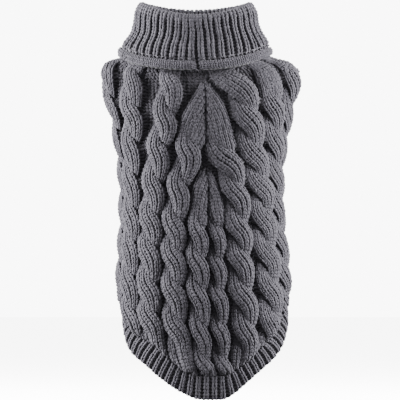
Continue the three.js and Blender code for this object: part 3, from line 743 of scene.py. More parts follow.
@dataclass
class BackPanel:
    """The cabled back, from the neck seam round to both side seams and down to the hem."""

    yarn: bpy.types.Material
    ground: bpy.types.Material
    shaded: bpy.types.Material
    grain: tuple[np.ndarray, np.ndarray]
    columns: int = 160
    rows: int = 150
    near: float = 2.4  # mm from a stitch within which the cloth keeps the cable's height
    far: float = 4.2  # mm from a stitch beyond which it lies flat
    bump_width: float = 2.5  # mm, one purl bump
    bump_height: float = 2.0
    bump_reach: float = 2.4  # mm from its middle to its ends
    leg_width: float = 2.55  # mm, one leg of a V
    leg_height: float = 2.3
    leg_reach: float = 0.7  # rows from its middle to its ends
    leg_foot: float = 0.6  # mm from the wale's middle to the leg's foot
    leg_middle: float = 1.22
    leg_top: float = 1.85
    show: float = 0.25  # mm that a stitch has to lie above its neighbours to be seen
    laid: kdtree.KDTree | None = None  # where the stitches of the cables are

    def fade(self, angle: np.ndarray, z: np.ndarray) -> np.ndarray:
        """The share of a cable's rise that is left near the seams and under the collar."""
        seam, edge = HEM["seam"](angle), collar_edge(angle)
        ends = ease(-1, 5, z - seam) * ease(NECK, NECK - 6, z)
        return ends * (0.2 + 0.8 * ease(-1, -10, z - edge))

    def height(self, angle: np.ndarray, z: np.ndarray) -> np.ndarray:
        """How far the cables stand above the plain fabric."""
        tops = [cable.top(angle, z) for cable in CABLES.values()]
        return np.maximum(np.max(tops, axis=0), 0) * self.fade(angle, z)

    def covered(self, angle: np.ndarray, z: np.ndarray) -> np.ndarray:
        """How far the cables stand above the plain fabric, sunk wherever no stitch lies near."""
        lift = self.height(angle, z)
        points = BODY.lifted(angle, z, lift).reshape(-1, 3)
        gap = np.array([self.laid.find(point)[2] for point in points]).reshape(lift.shape)
        return lift * ease(self.far, self.near, gap)

    def pleat(self, angle: np.ndarray, z: np.ndarray) -> np.ndarray:
        """How far the fabric sinks into the centre-back pleat."""
        along = ease(-20, -46, z) * ease(-120, -102, z)
        return 1.6 * along * np.maximum(0, 1 - np.abs(angle - 2.8) / 3)

    def cloth(self) -> bpy.types.Object:
        """The fabric that carries the stitches."""
        angle = np.linspace(-SIDE_SEAM + 0.2, SIDE_SEAM - 0.2, self.columns)[:, None]
        seam = HEM["seam"](angle) + 0.3
        z = NECK + (seam - NECK) * np.linspace(0, 1, self.rows)[None, :]
        angle = np.broadcast_to(angle, z.shape)
        lift = self.covered(angle, z) - self.pleat(angle, z) - SINK
        outer = BODY.lifted(angle, z, lift)
        inner = BODY.lifted(angle, z, np.full(z.shape, -WALL))
        return shell("back_cloth", outer, inner, False, self.ground)

    def on_strand(self, cable: Cable, strand: int, z: np.ndarray, arc: np.ndarray,
                  wale: np.ndarray) -> tuple[np.ndarray, np.ndarray, np.ndarray, np.ndarray]:
        """Finds a place on the round top of a strand.

        Args:
            cable: The cable.
            strand: 0 or 1.
            z: The height of the strand's middle line there.
            arc: Millimetres round the strand from its top, to the right.
            wale: The same place, counted in mm across the cable where it lies flat.

        Returns:
            The point, its angle, its height above the ground and the mm past the cable's edge.
        """
        half, thick = cable.half(strand, z), cable.thickness(z)
        share = np.clip(arc * 3 / cable.wales * WALE / cable.pitch / (STRAND_ARC / 2), -1, 1)
        tilt = share * math.pi / 2
        slant = cable.slant(strand, z)
        flat = cable.flatness(z)
        width = cable.rows["width"](z)
        across = cable.centre(strand, z) + half * np.sin(tilt) * np.cos(slant)
        spread = cable.pitch * cable.wales
        laid = wale * width / (spread * 2)
        if cable.anchor:
            laid = cable.anchor * (width / 2 - spread) + wale
        x = (1 - flat) * across + flat * laid
        up = (1 - flat) * half * np.sin(tilt) * np.sin(slant)
        up = up + flat * (laid * np.sin(slant) * 0.5)
        cut = (flat > 0.15) & (cable.anchor != 0)
        beyond = np.where(cut, np.maximum(np.abs(x) - width / 2 - 0.2, 0), 0)
        round_top = cable.height(strand, z) + thick * np.cos(tilt)
        lift = (1 - flat) * round_top + flat * cable.flat_height(x, z)
        middle = cable.rows["angle"](z)
        angle = middle + x / BODY.per_degree(middle, z)
        lift = lift * self.fade(angle, z + up)
        return BODY.lifted(angle, z + up, lift), angle, lift, beyond

    def knit(self, bed: StitchBed, cable: Cable) -> None:
        """Lays the V stitches of one cable.

        Args:
            bed: Where they are gathered.
            cable: The cable.
        """
        line = np.arange(8.0, -320.0, -0.4)
        middle = cable.rows["angle"](line)
        for strand in (0, 1):
            turn = middle + cable.centre(strand, line) / BODY.per_degree(middle, line)
            path = BODY.lifted(turn, line, cable.height(strand, line) * 0.5)
            steps = np.linalg.norm(np.diff(path, axis=0), axis=1)
            length = np.concatenate([[0], np.cumsum(steps)])
            rows = np.arange(2.0 + 1.4 * strand, length[-1] - 2, ROW)
            for wale in np.arange(cable.wales) - (cable.wales - 1) / 2:
                for side in (-1, 1):
                    self.leg(bed, cable, strand, line, length, rows, wale, side)

    def leg(self, bed: StitchBed, cable: Cable, strand: int, line: np.ndarray,
            length: np.ndarray, rows: np.ndarray, wale: float, side: int) -> None:
        """Lays one leg of every V down one wale of a strand.

        Args:
            bed: Where the legs are gathered.
            cable: The cable.
            strand: 0 or 1.
            line: Heights along the strand's middle line.
            length: The strand's length down to each of them.
            rows: The length down to each row.
            wale: Which wale across the strand, counted from its middle.
            side: -1 for the left leg and 1 for the right one.
        """
        flat = (wale + (strand - 0.5) * cable.wales) * cable.pitch

        def place(shift: float, out: float) -> tuple[np.ndarray, ...]:
            """A place shift rows above the row's middle and out mm beside the wale's middle."""
            z = np.interp(rows - shift * ROW, length, line)
            arc = wale * cable.pitch + side * out + np.zeros_like(z)
            return self.on_strand(cable, strand, z, arc, flat + side * out)

        low = place(-self.leg_reach, self.leg_foot)[0]
        high = place(self.leg_reach, self.leg_top)[0]
        here, angle, lift, beyond = place(0, self.leg_middle)
        right = place(0, 1.2 + side * 0.7)[0] - place(0, 1.2 - side * 0.7)[0]
        up = place(0.3, 1.2)[0] - place(-0.3, 1.2)[0]
        out = unit(np.cross(right, up))
        z = here[:, 2]
        x = cable.beside(angle, z)
        over = cable.field(1 - strand, x, z) * self.fade(angle, z)
        over = np.where(cable.flatness(z) > 0.3, -1, over)
        others = [c.top(angle, z) for c in CABLES.values() if c is not cable]
        over = np.maximum(over, np.max(others, axis=0) * self.fade(angle, z) - 1.0)
        keep = (over < lift - self.show) & (beyond == 0) & (cable.rows["rise"](z) > 0.25)
        keep &= (z < collar_edge(angle) + 3) & (z > HEM["seam"](angle) + 0.1)
        keep &= (np.abs(angle) < SIDE_SEAM - 1)
        bed.add(low, high, out, self.leg_width, self.leg_height, keep)

    def purl(self, bed: StitchBed) -> None:
        """Lays purl bumps on the ground between the cables.

        Args:
            bed: Where they are gathered.
        """
        z = row_levels(9.0, -312.0)[:, None]
        for row, level in enumerate(z[:, 0]):
            scale = float(BODY.per_degree(np.array(0.0), np.array(level)))
            angle = np.arange(-SIDE_SEAM + 2, SIDE_SEAM - 2, WALE / scale)
            angle = angle + (row % 2) * WALE / 2 / scale
            height = np.full(angle.shape, level)
            lift = self.covered(angle, height)
            keep = (lift < 1.8) & (height > HEM["seam"](angle) + 0.6)
            keep &= height < collar_edge(angle) + 3
            base = lift * 0.6 - self.pleat(angle, height) - 0.6
            tilt = 1.5 * np.sin(angle * 0.33 + level * 0.11)
            tilt = tilt + 0.5 * np.sin(angle * 5.1 + level * 2.3)
            base = base + 0.3 * np.sin(angle * 3.7 - level * 1.9)
            reach = self.bump_reach / scale
            low = BODY.lifted(angle - reach, height + tilt, base)
            high = BODY.lifted(angle + reach, height - tilt, base)
            bed.add(low, high, BODY.normal(angle, height), self.bump_width, self.bump_height, keep)

    def build(self) -> list[bpy.types.Object]:
        """Makes the cloth and its stitches.

        Returns:
            The cloth first, then its stitches.
        """
        groups = {
            "back_stitches_left": ["side_left", "outer_left", "mid_left"],
            "back_stitches_middle": ["inner_left", "pleat_left", "pleat_right", "inner_right"],
            "back_stitches_right": ["mid_right", "outer_right", "side_right"],
        }
        beds = [StitchBed(name, self.grain) for name in groups]
        for bed, cables in zip(beds, groups.values()):
            for cable in cables:
                self.knit(bed, CABLES[cable])
        self.mark(beds)
        pieces = [self.cloth(), *(bed.build(self.yarn, seed) for seed, bed in enumerate(beds))]
        bed = StitchBed("back_purl", self.grain)
        self.purl(bed)
        # The purl bumps use a darker copy of the yarn: painted shade in the channels between the
        # cables.
        pieces.append(bed.build(self.shaded, 7))
        return pieces

    def mark(self, beds: list[StitchBed]) -> None:
        """Notes where the stitches of the cables are."""
        points = np.concatenate([(low + high) / 2 for bed in beds
                                 for low, high in zip(bed.lows, bed.highs)])
        self.laid = kdtree.KDTree(len(points))
        for number, point in enumerate(points):
            self.laid.insert(point, number)
        self.laid.balance()


class Knit(Enum):
    """How a piece is knitted, with the name of its slot."""

    CABLE = "cable_knit"
    PLAIN = "plain_knit"
    RIB = "rib_knit"


@dataclass(frozen=True)
class Cut:
    """The size that a piece was knitted to before it was sewn, in metres and square metres."""

    width: float
    length: float
    area: float


COLLAR_OUTSIDE = Form(table(SECTION, [
    [54, -61.5, 53, 42, 40],
    [44, -63, 55, 42.5, 41],
    [36, -64, 56, 43, 42],
    [28, -66, 59, 44.5, 43.5],
    [20, -71, 64, 47, 46],
    [12, -78, 69, 52, 50],
    [6, -80.5, 71, 56, 54],
    [-2, -85, 76, 60, 57],
    [-11, -91, 84, 64, 60],
]))
COLLAR_INSIDE = Form(table(SECTION, [
    [12, -58, 55, 42, 40],
    [24, -57.5, 52, 39.5, 38],
    [36, -58.5, 51, 38.5, 37.5],
    [54, -57, 48.5, 37.5, 36],
]))
# The grooves between the collar's ribs, counted round the neck, at the turned edge and the fold.
COLLAR_GROOVES = table(["number", "foot", "fold"], [
    [0, -66.3, -75.5],
    [1, -54, -64],
    [2, -46.2, -54.6],
    [3, -39, -46],
    [4, -32.3, -37.5],
    [5, -25.8, -29],
    [6, -19.6, -21],
    [7, -13.6, -13.4],
    [8, -6.1, -6.9],
    [9, 1.5, -1],
    [10, 8.5, 6.3],
    [11, 15.9, 16.4],
    [12, 23, 24.2],
    [13, 30.3, 33.1],
    [14, 37.9, 42.4],
    [15, 46, 50.6],
    [16, 56.6, 58.8],
    [17, 64.5, 69.1],
    [28.5, 179, 177],
    [40, 293.7, 284.5],
])


@dataclass
class Collar:
    """The ribbed turtleneck tube, folded down on itself and joined at the centre back."""

    yarn: bpy.types.Material
    ground: bpy.types.Material
    grain: tuple[np.ndarray, np.ndarray]
    ribs: int = 40
    slit: float = 9.0  # the groove, by its number, where the turned tube is joined
    layer: float = 3.2  # mm, the thickness of one layer
    band: float = 8.5  # mm, the height of the rolled band at the turned edge
    rise: float = 2.3  # mm that the ribs stand up
    fold: float = 5.0  # mm, the radius of the fold at the top
    row: float = 3.3  # mm, one row of stitches
    per_rib: int = 6
    rows: int = 56
    lengths: tuple[float, ...] = (0, 50, 66, 104)  # mm of fabric below way 0, 1, 2 and 3

    def rim(self, angle: np.ndarray) -> np.ndarray:
        """The height of the fold round the neck."""
        facing = np.cos(np.radians(angle))
        return 57 - np.where(facing > 0, 13.0, 6.5) * facing ** 2

    def place(self, number: np.ndarray, way: np.ndarray, lift: np.ndarray) -> np.ndarray:
        """Finds a place on the collar's face.

        Args:
            number: The rib number round the neck, with whole numbers in the grooves.
            way: 0 at the turned edge, 1 at the fold's foot, 2 at its other foot, 3 at the neck.
            lift: The distance out of the face, in mm.

        Returns:
            The point, in mm.
        """
        number, way, lift = np.broadcast_arrays(number, way, lift)
        outside, inside = np.clip(way, 0, 1), np.clip(way - 2, 0, 1)
        low, high = COLLAR_GROOVES["foot"](number), COLLAR_GROOVES["fold"](number)
        angle = low + (high - low) * np.clip(outside * 1.1, 0, 1)
        edge, shoulder = collar_edge(angle), self.rim(angle) - self.fold
        z = edge + (shoulder - edge) * outside
        near = np.maximum(0, 1 - np.abs(number - self.slit) / 0.4)
        sunk = 4.5 * near * ease(26, 0, z)
        out = COLLAR_OUTSIDE.lifted(angle, z, lift - sunk)
        back = COLLAR_INSIDE.lifted(angle, shoulder - (shoulder - NECK - 0.3) * inside,
                                    -self.layer - lift)
        turn = np.clip(way - 1, 0, 1) * math.pi
        share = (1 - np.cos(turn))[..., None] / 2
        over = out * (1 - share) + back * share
        over[..., 2] += (self.fold + lift) * np.sin(turn)
        return over

    def length(self, way: np.ndarray) -> np.ndarray:
        """About how many mm of fabric lie below a place."""
        return np.interp(way, range(4), self.lengths)

    def way(self, length: np.ndarray) -> np.ndarray:
        """The place above a length of fabric."""
        return np.interp(length, self.lengths, range(4))

    def lift(self, number: np.ndarray, way: np.ndarray) -> np.ndarray:
        """How far the ribs and the rolled band stand up."""
        off = np.abs(2 * (number % 1) - 1)
        length = self.length(way)
        smooth = 1 - 0.75 * ease(44, 52, length) * ease(76, 64, length)
        rib = self.rise * smooth * (1 - off ** 3) * ease(self.band, self.band + 2.5, length)
        roll = 2.0 * np.sin(math.pi * np.clip(length / self.band, 0, 1)) ** 0.7
        return rib + roll * (length < self.band) + 0.2

    def cloth(self) -> bpy.types.Object:
        """The fabric, two layers deep, with a pocket between them."""
        number = (np.arange(self.ribs * self.per_rib) / self.per_rib)[:, None]
        lengths = np.concatenate([np.linspace(0, 12, 10), np.linspace(14, 104, self.rows - 10)])
        way = self.way(lengths)[None, :]
        outer = self.place(number, way, self.lift(number, way) - SINK)
        half = self.rows // 2
        share = np.linspace(0, 1, half)[None, :]
        low, high = COLLAR_GROOVES["foot"](number), COLLAR_GROOVES["fold"](number)
        angle = low + (high - low) * share
        edge, pocket = collar_edge(angle), self.rim(angle) - self.fold - 4
        under = COLLAR_OUTSIDE.lifted(angle, edge + (pocket - edge) * share,
                                      np.full(angle.shape, -self.layer))
        angle = np.broadcast_to(high, angle.shape)
        pocket = self.rim(angle) - self.fold - 4
        inside = COLLAR_INSIDE.lifted(angle, pocket + (NECK + 0.3 - pocket) * share,
                                      np.zeros(angle.shape))
        inner = np.concatenate([under, inside], axis=1)
        return shell("collar_cloth", outer, inner, True, self.ground)

    def knit(self, bed: StitchBed) -> None:
        """Lays the two lines of legs on each rib, over the fold and down the inside."""
        length = np.arange(self.band + 4.2, 102, self.row)[None, :]
        middle = (np.arange(self.ribs) + 0.5)[:, None]
        folded = ease(45, 52, length) * ease(75, 64, length)
        for side in (-1, 1):
            ends = []
            for shift, out in ((-0.7, 0.13), (0.7, 0.25), (0, 0.09), (0, 0.29), (-0.2, 0.19),
                               (0.2, 0.19)):
                way = self.way(length + shift * self.row)
                number = middle + side * (out + 0.06 * folded)
                ends.append(self.place(number, way, self.lift(number, way)))
            low, high, near, far, down, up = ends
            right = (far - near) * side
            bed.add(low, high, unit(np.cross(right, up - down)), 3.15 + folded, 2.3)

    def edging(self, bed: StitchBed) -> None:
        """Lays the purl row above the rolled band and the chained edge of the band itself."""
        for length, height, step, tilt in ((self.band + 0.8, 2.6, 0.5, 0.0), (6.3, 1.8, 0.25, 0.9),
                                           (4.3, 1.9, 0.25, -0.9), (2.4, 1.9, 0.25, 0.9),
                                           (0.7, 1.8, 0.25, -0.9)):
            way = self.way(np.array([[length]]))
            middle = np.arange(0, self.ribs, step)[:, None] + 0.25
            reach = 0.13 if length > self.band else 0.16
            low = self.place(middle - reach, self.way(np.array([[length - tilt]])),
                             self.lift(middle - reach, way))
            high = self.place(middle + reach, self.way(np.array([[length + tilt]])),
                              self.lift(middle + reach, way))
            above = self.place(middle, way + 0.02, self.lift(middle, way))
            below = self.place(middle, way, self.lift(middle, way))
            out = unit(np.cross(high - low, above - below))
            bed.add(low, high, out, 2.2, height, np.abs(middle - self.slit) > 0.14)

    def build(self) -> list[bpy.types.Object]:
        """Makes the cloth and its stitches.

        Returns:
            The cloth first, then its stitches.
        """
        ribs = StitchBed("collar_stitches", self.grain)
        self.knit(ribs)
        edge = StitchBed("collar_edging", self.grain)
        self.edging(edge)
        return [self.cloth(), ribs.build(self.yarn, 11), edge.build(self.yarn, 12)]


@dataclass
class HemBand:
    """One half of the ribbed hem, between two angles."""

    yarn: bpy.types.Material
    ground: bpy.types.Material
    grain: tuple[np.ndarray, np.ndarray]
    name: str
    start: float
    end: float
    pitch: float = 8.0  # mm from rib to rib
    rise: float = 2.6  # mm that the ribs stand up
    rows: int = 7
    per_rib: int = 6
    leg_width: float = 2.6
    leg_height: float = 2.0

    def __post_init__(self) -> None:
        """Measures the band's middle line and counts its ribs."""
        angle = np.linspace(self.start, self.end, 400)
        line = self.place_at(angle, np.full(400, 0.5), np.zeros(400))
        along = np.concatenate([[0], np.cumsum(np.linalg.norm(np.diff(line, axis=0), axis=1))])
        self.ribs = round(along[-1] / self.pitch)
        self.numbers = along / along[-1] * self.ribs
        self.angles = angle

    def place_at(self, angle: np.ndarray, share: np.ndarray, lift: np.ndarray) -> np.ndarray:
        """A place on the band. share is 0 at the seam and 1 at the edge."""
        seam = HEM["seam"](angle) - 0.6
        at = angle + (HEM["edge_angle"](angle) - angle) * share
        return BODY.lifted(at, seam + (HEM["edge"](angle) - seam) * share, lift)

    def place(self, number: np.ndarray, share: np.ndarray, lift: np.ndarray) -> np.ndarray:
        """A place on the band, by its rib number."""
        number, share, lift = np.broadcast_arrays(number, share, lift)
        return self.place_at(np.interp(number, self.numbers, self.angles), share, lift)

    def lift(self, number: np.ndarray, share: np.ndarray) -> np.ndarray:
        """How far the ribs stand up, less at the seam and at the rounded edge."""
        off = np.abs(2 * (number % 1) - 1)
        body = 0.65 + 0.35 * np.clip(share / 0.4, 0, 1) - 0.65 * (share < 0)
        body = body * (1 - 0.5 * ease(0.86, 1.0, share))
        return self.rise * (1 - off ** 2.0) * body

    def cloth(self) -> bpy.types.Object:
        """The ribbed fabric under the stitches."""
        number = np.linspace(0, self.ribs, self.ribs * self.per_rib + 1)[:, None]
        share = np.linspace(-0.12, 1, 12)[None, :]
        outer = self.place(number, share, self.lift(number, share) - SINK)
        inner = self.place(number, share, np.array(-WALL))
        return shell(self.name + "_cloth", outer, inner, False, self.ground)

    def build(self) -> list[bpy.types.Object]:
        """Makes the cloth and its stitches.

        Returns:
            The cloth first, then its stitches.
        """
        bed = StitchBed(self.name + "_stitches", self.grain)
        middle = (np.arange(self.ribs) + 0.5)[:, None]
        share = ((np.arange(self.rows) + 0.5) / self.rows)[None, :]
        for side in (-1, 1):
            ends = []
            for shift, out in ((0.7, 0.12), (-0.7, 0.23), (0, 0.1), (0, 0.26), (0.2, 0.175),
                               (-0.2, 0.175)):
                at = np.clip(share + shift / self.rows, 0, 1)
                number = middle + side * out
                ends.append(self.place(number, at, self.lift(number, at)))
            low, high, near, far, down, up = ends
            out = unit(np.cross((far - near) * side, up - down))
            bed.add(low, high, out, self.leg_width, self.leg_height)
        number = (np.arange(self.ribs * 2) / 2 + 0.25)[:, None]
        lift = self.lift(number, np.array(1.0)) * 0.6 - SINK
        low = self.place(number - 0.3, np.array(0.99), lift)
        high = self.place(number + 0.3, np.array(0.99), lift)
        edge, above = (self.place(number, np.array(share), lift) for share in (1.0, 0.9))
        bed.add(low, high, unit(edge - above), self.leg_width, self.leg_height)
        return [self.cloth(), bed.build(self.yarn, int(self.start) + 200)]


@dataclass
class LegOpening:
    """The place of a leg opening in the belly panel."""

    side: int
    angle: float = 142.0
    z: float = -61.0
    half_width: float = 20.0
    half_height: float = 29.0

    def place(self, turn: np.ndarray, grow: np.ndarray, lift: np.ndarray) -> np.ndarray:
        """A place beside the opening. grow widens it and lift is straight out of it."""
        turn, grow, lift = np.broadcast_arrays(turn, grow, lift)
        middle = np.array(self.side * self.angle)
        across = (self.half_width + grow) * np.cos(turn)
        up = (self.half_height + grow) * np.sin(turn)
        angle = middle + across / BODY.per_degree(middle, np.array(self.z))
        out = BODY.normal(middle, np.array(self.z))
        skin = BODY.lifted(angle, self.z + up, np.full(turn.shape, 0.65))
        return skin + out * lift[..., None]

    def inside(self, angle: np.ndarray, z: np.ndarray, grow: float) -> np.ndarray:
        """Whether places of the belly lie in the opening, widened by grow."""
        middle = np.array(self.side * self.angle)
        turned = (angle - middle + 180) % 360 - 180
        across = turned * BODY.per_degree(middle, np.array(self.z)) / (self.half_width + grow)
        up = (z - self.z) / (self.half_height + grow)
        return across ** 2 + up ** 2 < 1


@dataclass
class LegCuff:
    """The short ribbed cuff that stands round one leg opening."""

    yarn: bpy.types.Material
    ground: bpy.types.Material
    grain: tuple[np.ndarray, np.ndarray]
    side: int
    ribs: int = 16
    height: float = 13.0  # mm that the cuff stands out of the belly
    wall: float = 2.6  # mm, its thickness between the ribs
    rise: float = 2.0  # mm that the ribs stand up

    def lift(self, number: np.ndarray) -> np.ndarray:
        """How far the ribs stand out of the cuff's wall."""
        return self.wall + self.rise * (1 - np.abs(2 * (number % 1) - 1) ** 2)

    def place(self, number: np.ndarray, height: np.ndarray, out: np.ndarray) -> np.ndarray:
        """A place on the cuff by its rib number, its height and its distance from the opening."""
        opening = LegOpening(self.side)
        return opening.place(np.asarray(number) / self.ribs * 2 * math.pi, out, height)

    def build(self) -> list[bpy.types.Object]:
        """Makes the cloth and its stitches.

        Returns:
            The cloth first, then its stitches.
        """
        name = "leg_cuff_right" if self.side > 0 else "leg_cuff_left"
        number = (np.arange(self.ribs * 6) / 6)[:, None]
        height = np.linspace(-1.5, self.height, 9)[None, :]
        lip = 1 - 0.5 * ease(0.8, 1.0, height / self.height)
        outer = self.place(number, height, (self.lift(number) - 0.8) * lip)
        inner = self.place(number, height, np.array(0.2))
        cloth = shell(name + "_cloth", outer, inner, True, self.ground)
        bed = StitchBed(name + "_stitches", self.grain)
        middle = (np.arange(self.ribs) + 0.5)[:, None]
        rows = (np.arange(4) * 3.2 + 1.2)[None, :]
        for side in (-1, 1):
            low = self.place(middle + side * 0.14, rows - 2, self.lift(middle + side * 0.14))
            high = self.place(middle + side * 0.24, rows + 2, self.lift(middle + side * 0.24))
            here = self.place(middle + side * 0.2, rows, self.lift(middle + side * 0.2))
            out = unit(here - self.place(middle, rows, np.array(-6.0)))
            bed.add(low, high, out, 2.2, 2.0)
        number = (np.arange(self.ribs * 2) / 2 + 0.25)[:, None]
        top = np.array(self.height - 0.6)
        low = self.place(number - 0.28, top, self.lift(number) - 1.3)
        high = self.place(number + 0.28, top, self.lift(number) - 1.3)
        above, here = (self.place(number, height, np.array(0.0)) for height in (top + 5.0, top))
        bed.add(low, high, unit(above - here), 2.6, 2.2)
        return [cloth, bed.build(self.yarn, 30 + self.side)]


@dataclass
class BellyPanel:
    """The plain under side between the side seams, with its two leg openings."""

    yarn: bpy.types.Material
    ground: bpy.types.Material
    grain: tuple[np.ndarray, np.ndarray]
    columns: int = 70
    rows: int = 80
    wales: int = 36
    margin: float = 0.6  # degrees from a side seam to the first wale

    def cloth(self) -> bpy.types.Object:
        """The fabric under the stitches, with the leg openings cut out."""
        angle = np.linspace(SIDE_SEAM + 0.2, 360 - SIDE_SEAM - 0.2, self.columns)[:, None]
        z = NECK + (HEM["seam"](angle) + 0.3 - NECK) * np.linspace(0, 1, self.rows)[None, :]
        angle = np.broadcast_to(angle, z.shape)
        outer = BODY.lifted(angle, z, np.full(z.shape, -0.4))
        inner = BODY.lifted(angle, z, np.full(z.shape, -WALL))
        cloth = shell("belly_cloth", outer, inner, False, self.ground)
        for side in (-1, 1):
            opening = LegOpening(side)
            middle = opening.place(np.array([0.0, math.pi]), 0.0, 0.0).mean(axis=0) * MM
            out = BODY.normal(np.array(side * opening.angle), np.array(opening.z))
            turn = Vector(out).to_track_quat("Z", "Y").to_euler()
            bpy.ops.object.select_all(action="DESELECT")
            bpy.ops.mesh.primitive_cylinder_add(
                vertices=48, radius=1, depth=0.03, location=middle, rotation=turn,
                scale=(opening.half_width * MM, opening.half_height * MM, 1))
            plug = bpy.context.object
            cut = cloth.modifiers.new("leg opening", "BOOLEAN")
            cut.object = plug
            cut.operation = "DIFFERENCE"
            bpy.ops.object.select_all(action="DESELECT")
            cloth.select_set(True)
            bpy.context.view_layer.objects.active = cloth
            bpy.ops.object.modifier_apply(modifier=cut.name)
            bpy.data.objects.remove(plug)
        return cloth

    def build(self) -> list[bpy.types.Object]:
        """Makes the cloth and its stitches.

        Returns:
            The cloth first, then its stitches.
        """
        bed = StitchBed("belly_stitches", self.grain)
        share = ((np.arange(self.wales) + 0.5) / self.wales)[:, None]
        z = row_levels(8.0, -212.0)[None, :]
        span = 360 - 2 * SIDE_SEAM - 2 * self.margin

        def turned(out: float) -> np.ndarray:
            """The angles beside the middles of all wales, by a share of a wale."""
            return SIDE_SEAM + self.margin + span * (share + out / self.wales)

        def place(up: float, out: float) -> np.ndarray:
            """A place beside the middle of every stitch."""
            return BODY.lifted(*np.broadcast_arrays(turned(out), z + up),
                               np.full((self.wales, z.size), 0.3))

        for side in (-1, 1):
            low, high = place(-2.3, side * 0.1), place(2.3, side * 0.35)
            angle = np.broadcast_to(turned(side * 0.23), (self.wales, z.size))
            keep = (z > HEM["seam"](angle) + 1) & (z < collar_edge(angle) + 3)
            for opening in (LegOpening(1), LegOpening(-1)):
                keep &= ~opening.inside(angle, z, 2.0)
            out = BODY.normal(angle, np.broadcast_to(z, angle.shape))
            bed.add(low, high, out, 2.4, 2.1, keep)
        return [self.cloth(), bed.build(self.yarn, 21)]


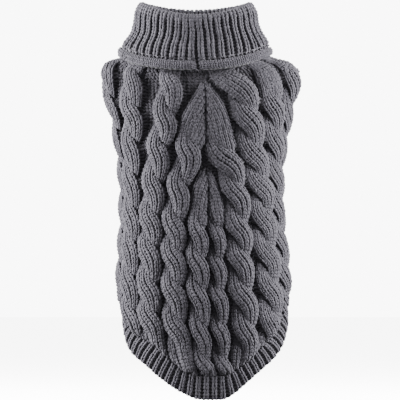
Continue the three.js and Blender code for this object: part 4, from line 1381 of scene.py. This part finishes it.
@dataclass
class Studio:
    """A plain pale floor, soft light from both sides and the camera."""

    floor: float = -0.345
    distance: float = 8.0
    aim: tuple[float, float, float] = (0.0, 0.0, -0.14)
    view_width: float = 0.4
    sensor: float = 36.0  # mm
    softbox_size: float = 1.2
    paper_glow: float = 7.0  # how bright the floor is to the camera
    glow: float = 0.74  # how bright the surroundings are to the garment
    backdrop: float = 9.0  # how bright they are to the camera

    def softbox(self, name: str, place: tuple[float, float, float], power: float) -> None:
        """Hangs one square area light that faces the garment.

        Args:
            name: The light's name.
            place: Where it hangs, in metres.
            power: Its power in watts.
        """
        light = bpy.data.lights.new(name, "AREA")
        light.shape = "SQUARE"
        light.size = self.softbox_size
        light.energy = power
        lamp = bpy.data.objects.new(name, light)
        lamp.location = place
        away = Vector(place) - Vector(self.aim)
        lamp.rotation_euler = away.to_track_quat("Z", "Y").to_euler()
        bpy.context.scene.collection.objects.link(lamp)

    def lay_floor(self) -> None:
        """Lays white paper under the garment, which only the camera sees."""
        bpy.ops.object.select_all(action="DESELECT")
        bpy.ops.mesh.primitive_plane_add(size=12, location=(0, 0, self.floor))
        floor = bpy.context.object
        floor.name = "floor"
        paper = bpy.data.materials.new("Matt white paper")
        paper.use_nodes = True
        shader = paper.node_tree.nodes["Principled BSDF"]
        shader.inputs["Base Color"].default_value = linear("f4f4f4")
        shader.inputs["Roughness"].default_value = 0.9
        shader.inputs["Emission Color"].default_value = (1, 1, 1, 1)
        shader.inputs["Emission Strength"].default_value = self.paper_glow
        floor.data.materials.append(paper)
        floor.visible_diffuse = False
        floor.visible_glossy = False

    def surround(self) -> None:
        """Makes the surroundings white, brighter to the camera than to the garment."""
        world = bpy.data.worlds.new("White surroundings")
        world.use_nodes = True
        tree = world.node_tree
        glow = tree.nodes["Background"]
        glow.inputs["Color"].default_value = (1, 1, 1, 1)
        glow.inputs["Strength"].default_value = self.glow
        backdrop = add_node(tree, "ShaderNodeBackground", {
            "Color": (1, 1, 1, 1), "Strength": self.backdrop})
        seen = add_node(tree, "ShaderNodeLightPath")
        both = add_node(tree, "ShaderNodeMixShader", {
            0: seen.outputs["Is Camera Ray"], 1: glow.outputs[0], 2: backdrop.outputs[0]})
        tree.links.new(both.outputs[0], tree.nodes["World Output"].inputs["Surface"])
        bpy.context.scene.world = world

    def set_camera(self) -> None:
        """Sets the camera level with its aim, straight in front of the garment's back."""
        lens = bpy.data.cameras.new("camera")
        lens.sensor_width = self.sensor
        lens.lens = self.sensor * self.distance / self.view_width
        camera = bpy.data.objects.new("camera", lens)
        camera.location = (self.aim[0], self.aim[1] - self.distance, self.aim[2])
        camera.rotation_euler = (math.pi / 2, 0, 0)
        bpy.context.scene.collection.objects.link(camera)
        bpy.context.scene.camera = camera

    def build(self) -> None:
        """Sets up the floor, the lights, the surroundings and the camera."""
        self.lay_floor()
        self.softbox("softbox_left", (-1.3, -0.03, 0.15), 285)
        self.softbox("softbox_right", (1.3, -0.08, 0.15), 225)
        self.surround()
        self.set_camera()


def main() -> None:
    """Builds the sweater and its studio."""
    logging.basicConfig(level=logging.INFO)
    Studio().build()
    yarn = YarnFinish("Charcoal worsted acrylic yarn", "141317", "3f3d43", 0.1).build()
    # A slightly darker copy of the yarn: painted shade that dims the lit tops of the ribs.
    ribbed = YarnFinish("Charcoal worsted acrylic yarn, ribbing", "141317", "3b393f", 0.1).build()
    # The cloth under the stitches is a little darker than the yarn: painted shade in the gaps
    # between the stitches.
    ground = ClothFinish("Charcoal knit, backs of the loops, with painted shade", "131215", "3a383e", 0.7).build()
    # A darker copy of the yarn for the purl: painted shade in the channels between the cables.
    shaded = YarnFinish("Charcoal yarn, purl ground between the cables", "111013", "3a383e",
                        0.08).build()
    # Lighter than the yarn: painted light that lifts the shade in the grooves of the ribbing.
    groove = ClothFinish("Charcoal knit, grooves of the ribbing", "1c1b1f", "4b494f", 0.6).build()
    grain = Grain().make()
    cuff = Cut(0.17, 0.015, 0.0024)
    made = [
        (BackPanel(yarn, ground, shaded, grain), "back_panel", Knit.CABLE, Cut(0.31, 0.33, 0.085)),
        (BellyPanel(yarn, ground, grain), "belly_panel", Knit.PLAIN, Cut(0.2, 0.22, 0.034)),
        (Collar(ribbed, groove, grain), "collar", Knit.RIB, Cut(0.36, 0.105, 0.0375)),
        (HemBand(ribbed, groove, grain, "hem_rib_back", -111.8, 111.8), "hem_rib_back", Knit.RIB,
         Cut(0.5, 0.022, 0.011)),
        (HemBand(ribbed, groove, grain, "hem_rib_belly", 112.2, 247.8), "hem_rib_belly", Knit.RIB,
         Cut(0.2, 0.02, 0.0039)),
        (LegCuff(ribbed, groove, grain, 1), "leg_cuff_right", Knit.RIB, cuff),
        (LegCuff(ribbed, groove, grain, -1), "leg_cuff_left", Knit.RIB, cuff),
    ]
    for panel, node, knit, cut in made:
        pieces, slot = panel.build(), knit.value
        for piece in pieces:
            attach(piece, "root")
            log.info("%s: %s, %d faces", piece.name, slot, len(piece.data.polygons))
        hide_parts(node)
        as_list(pieces[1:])


if __name__ == "__main__":
    main()
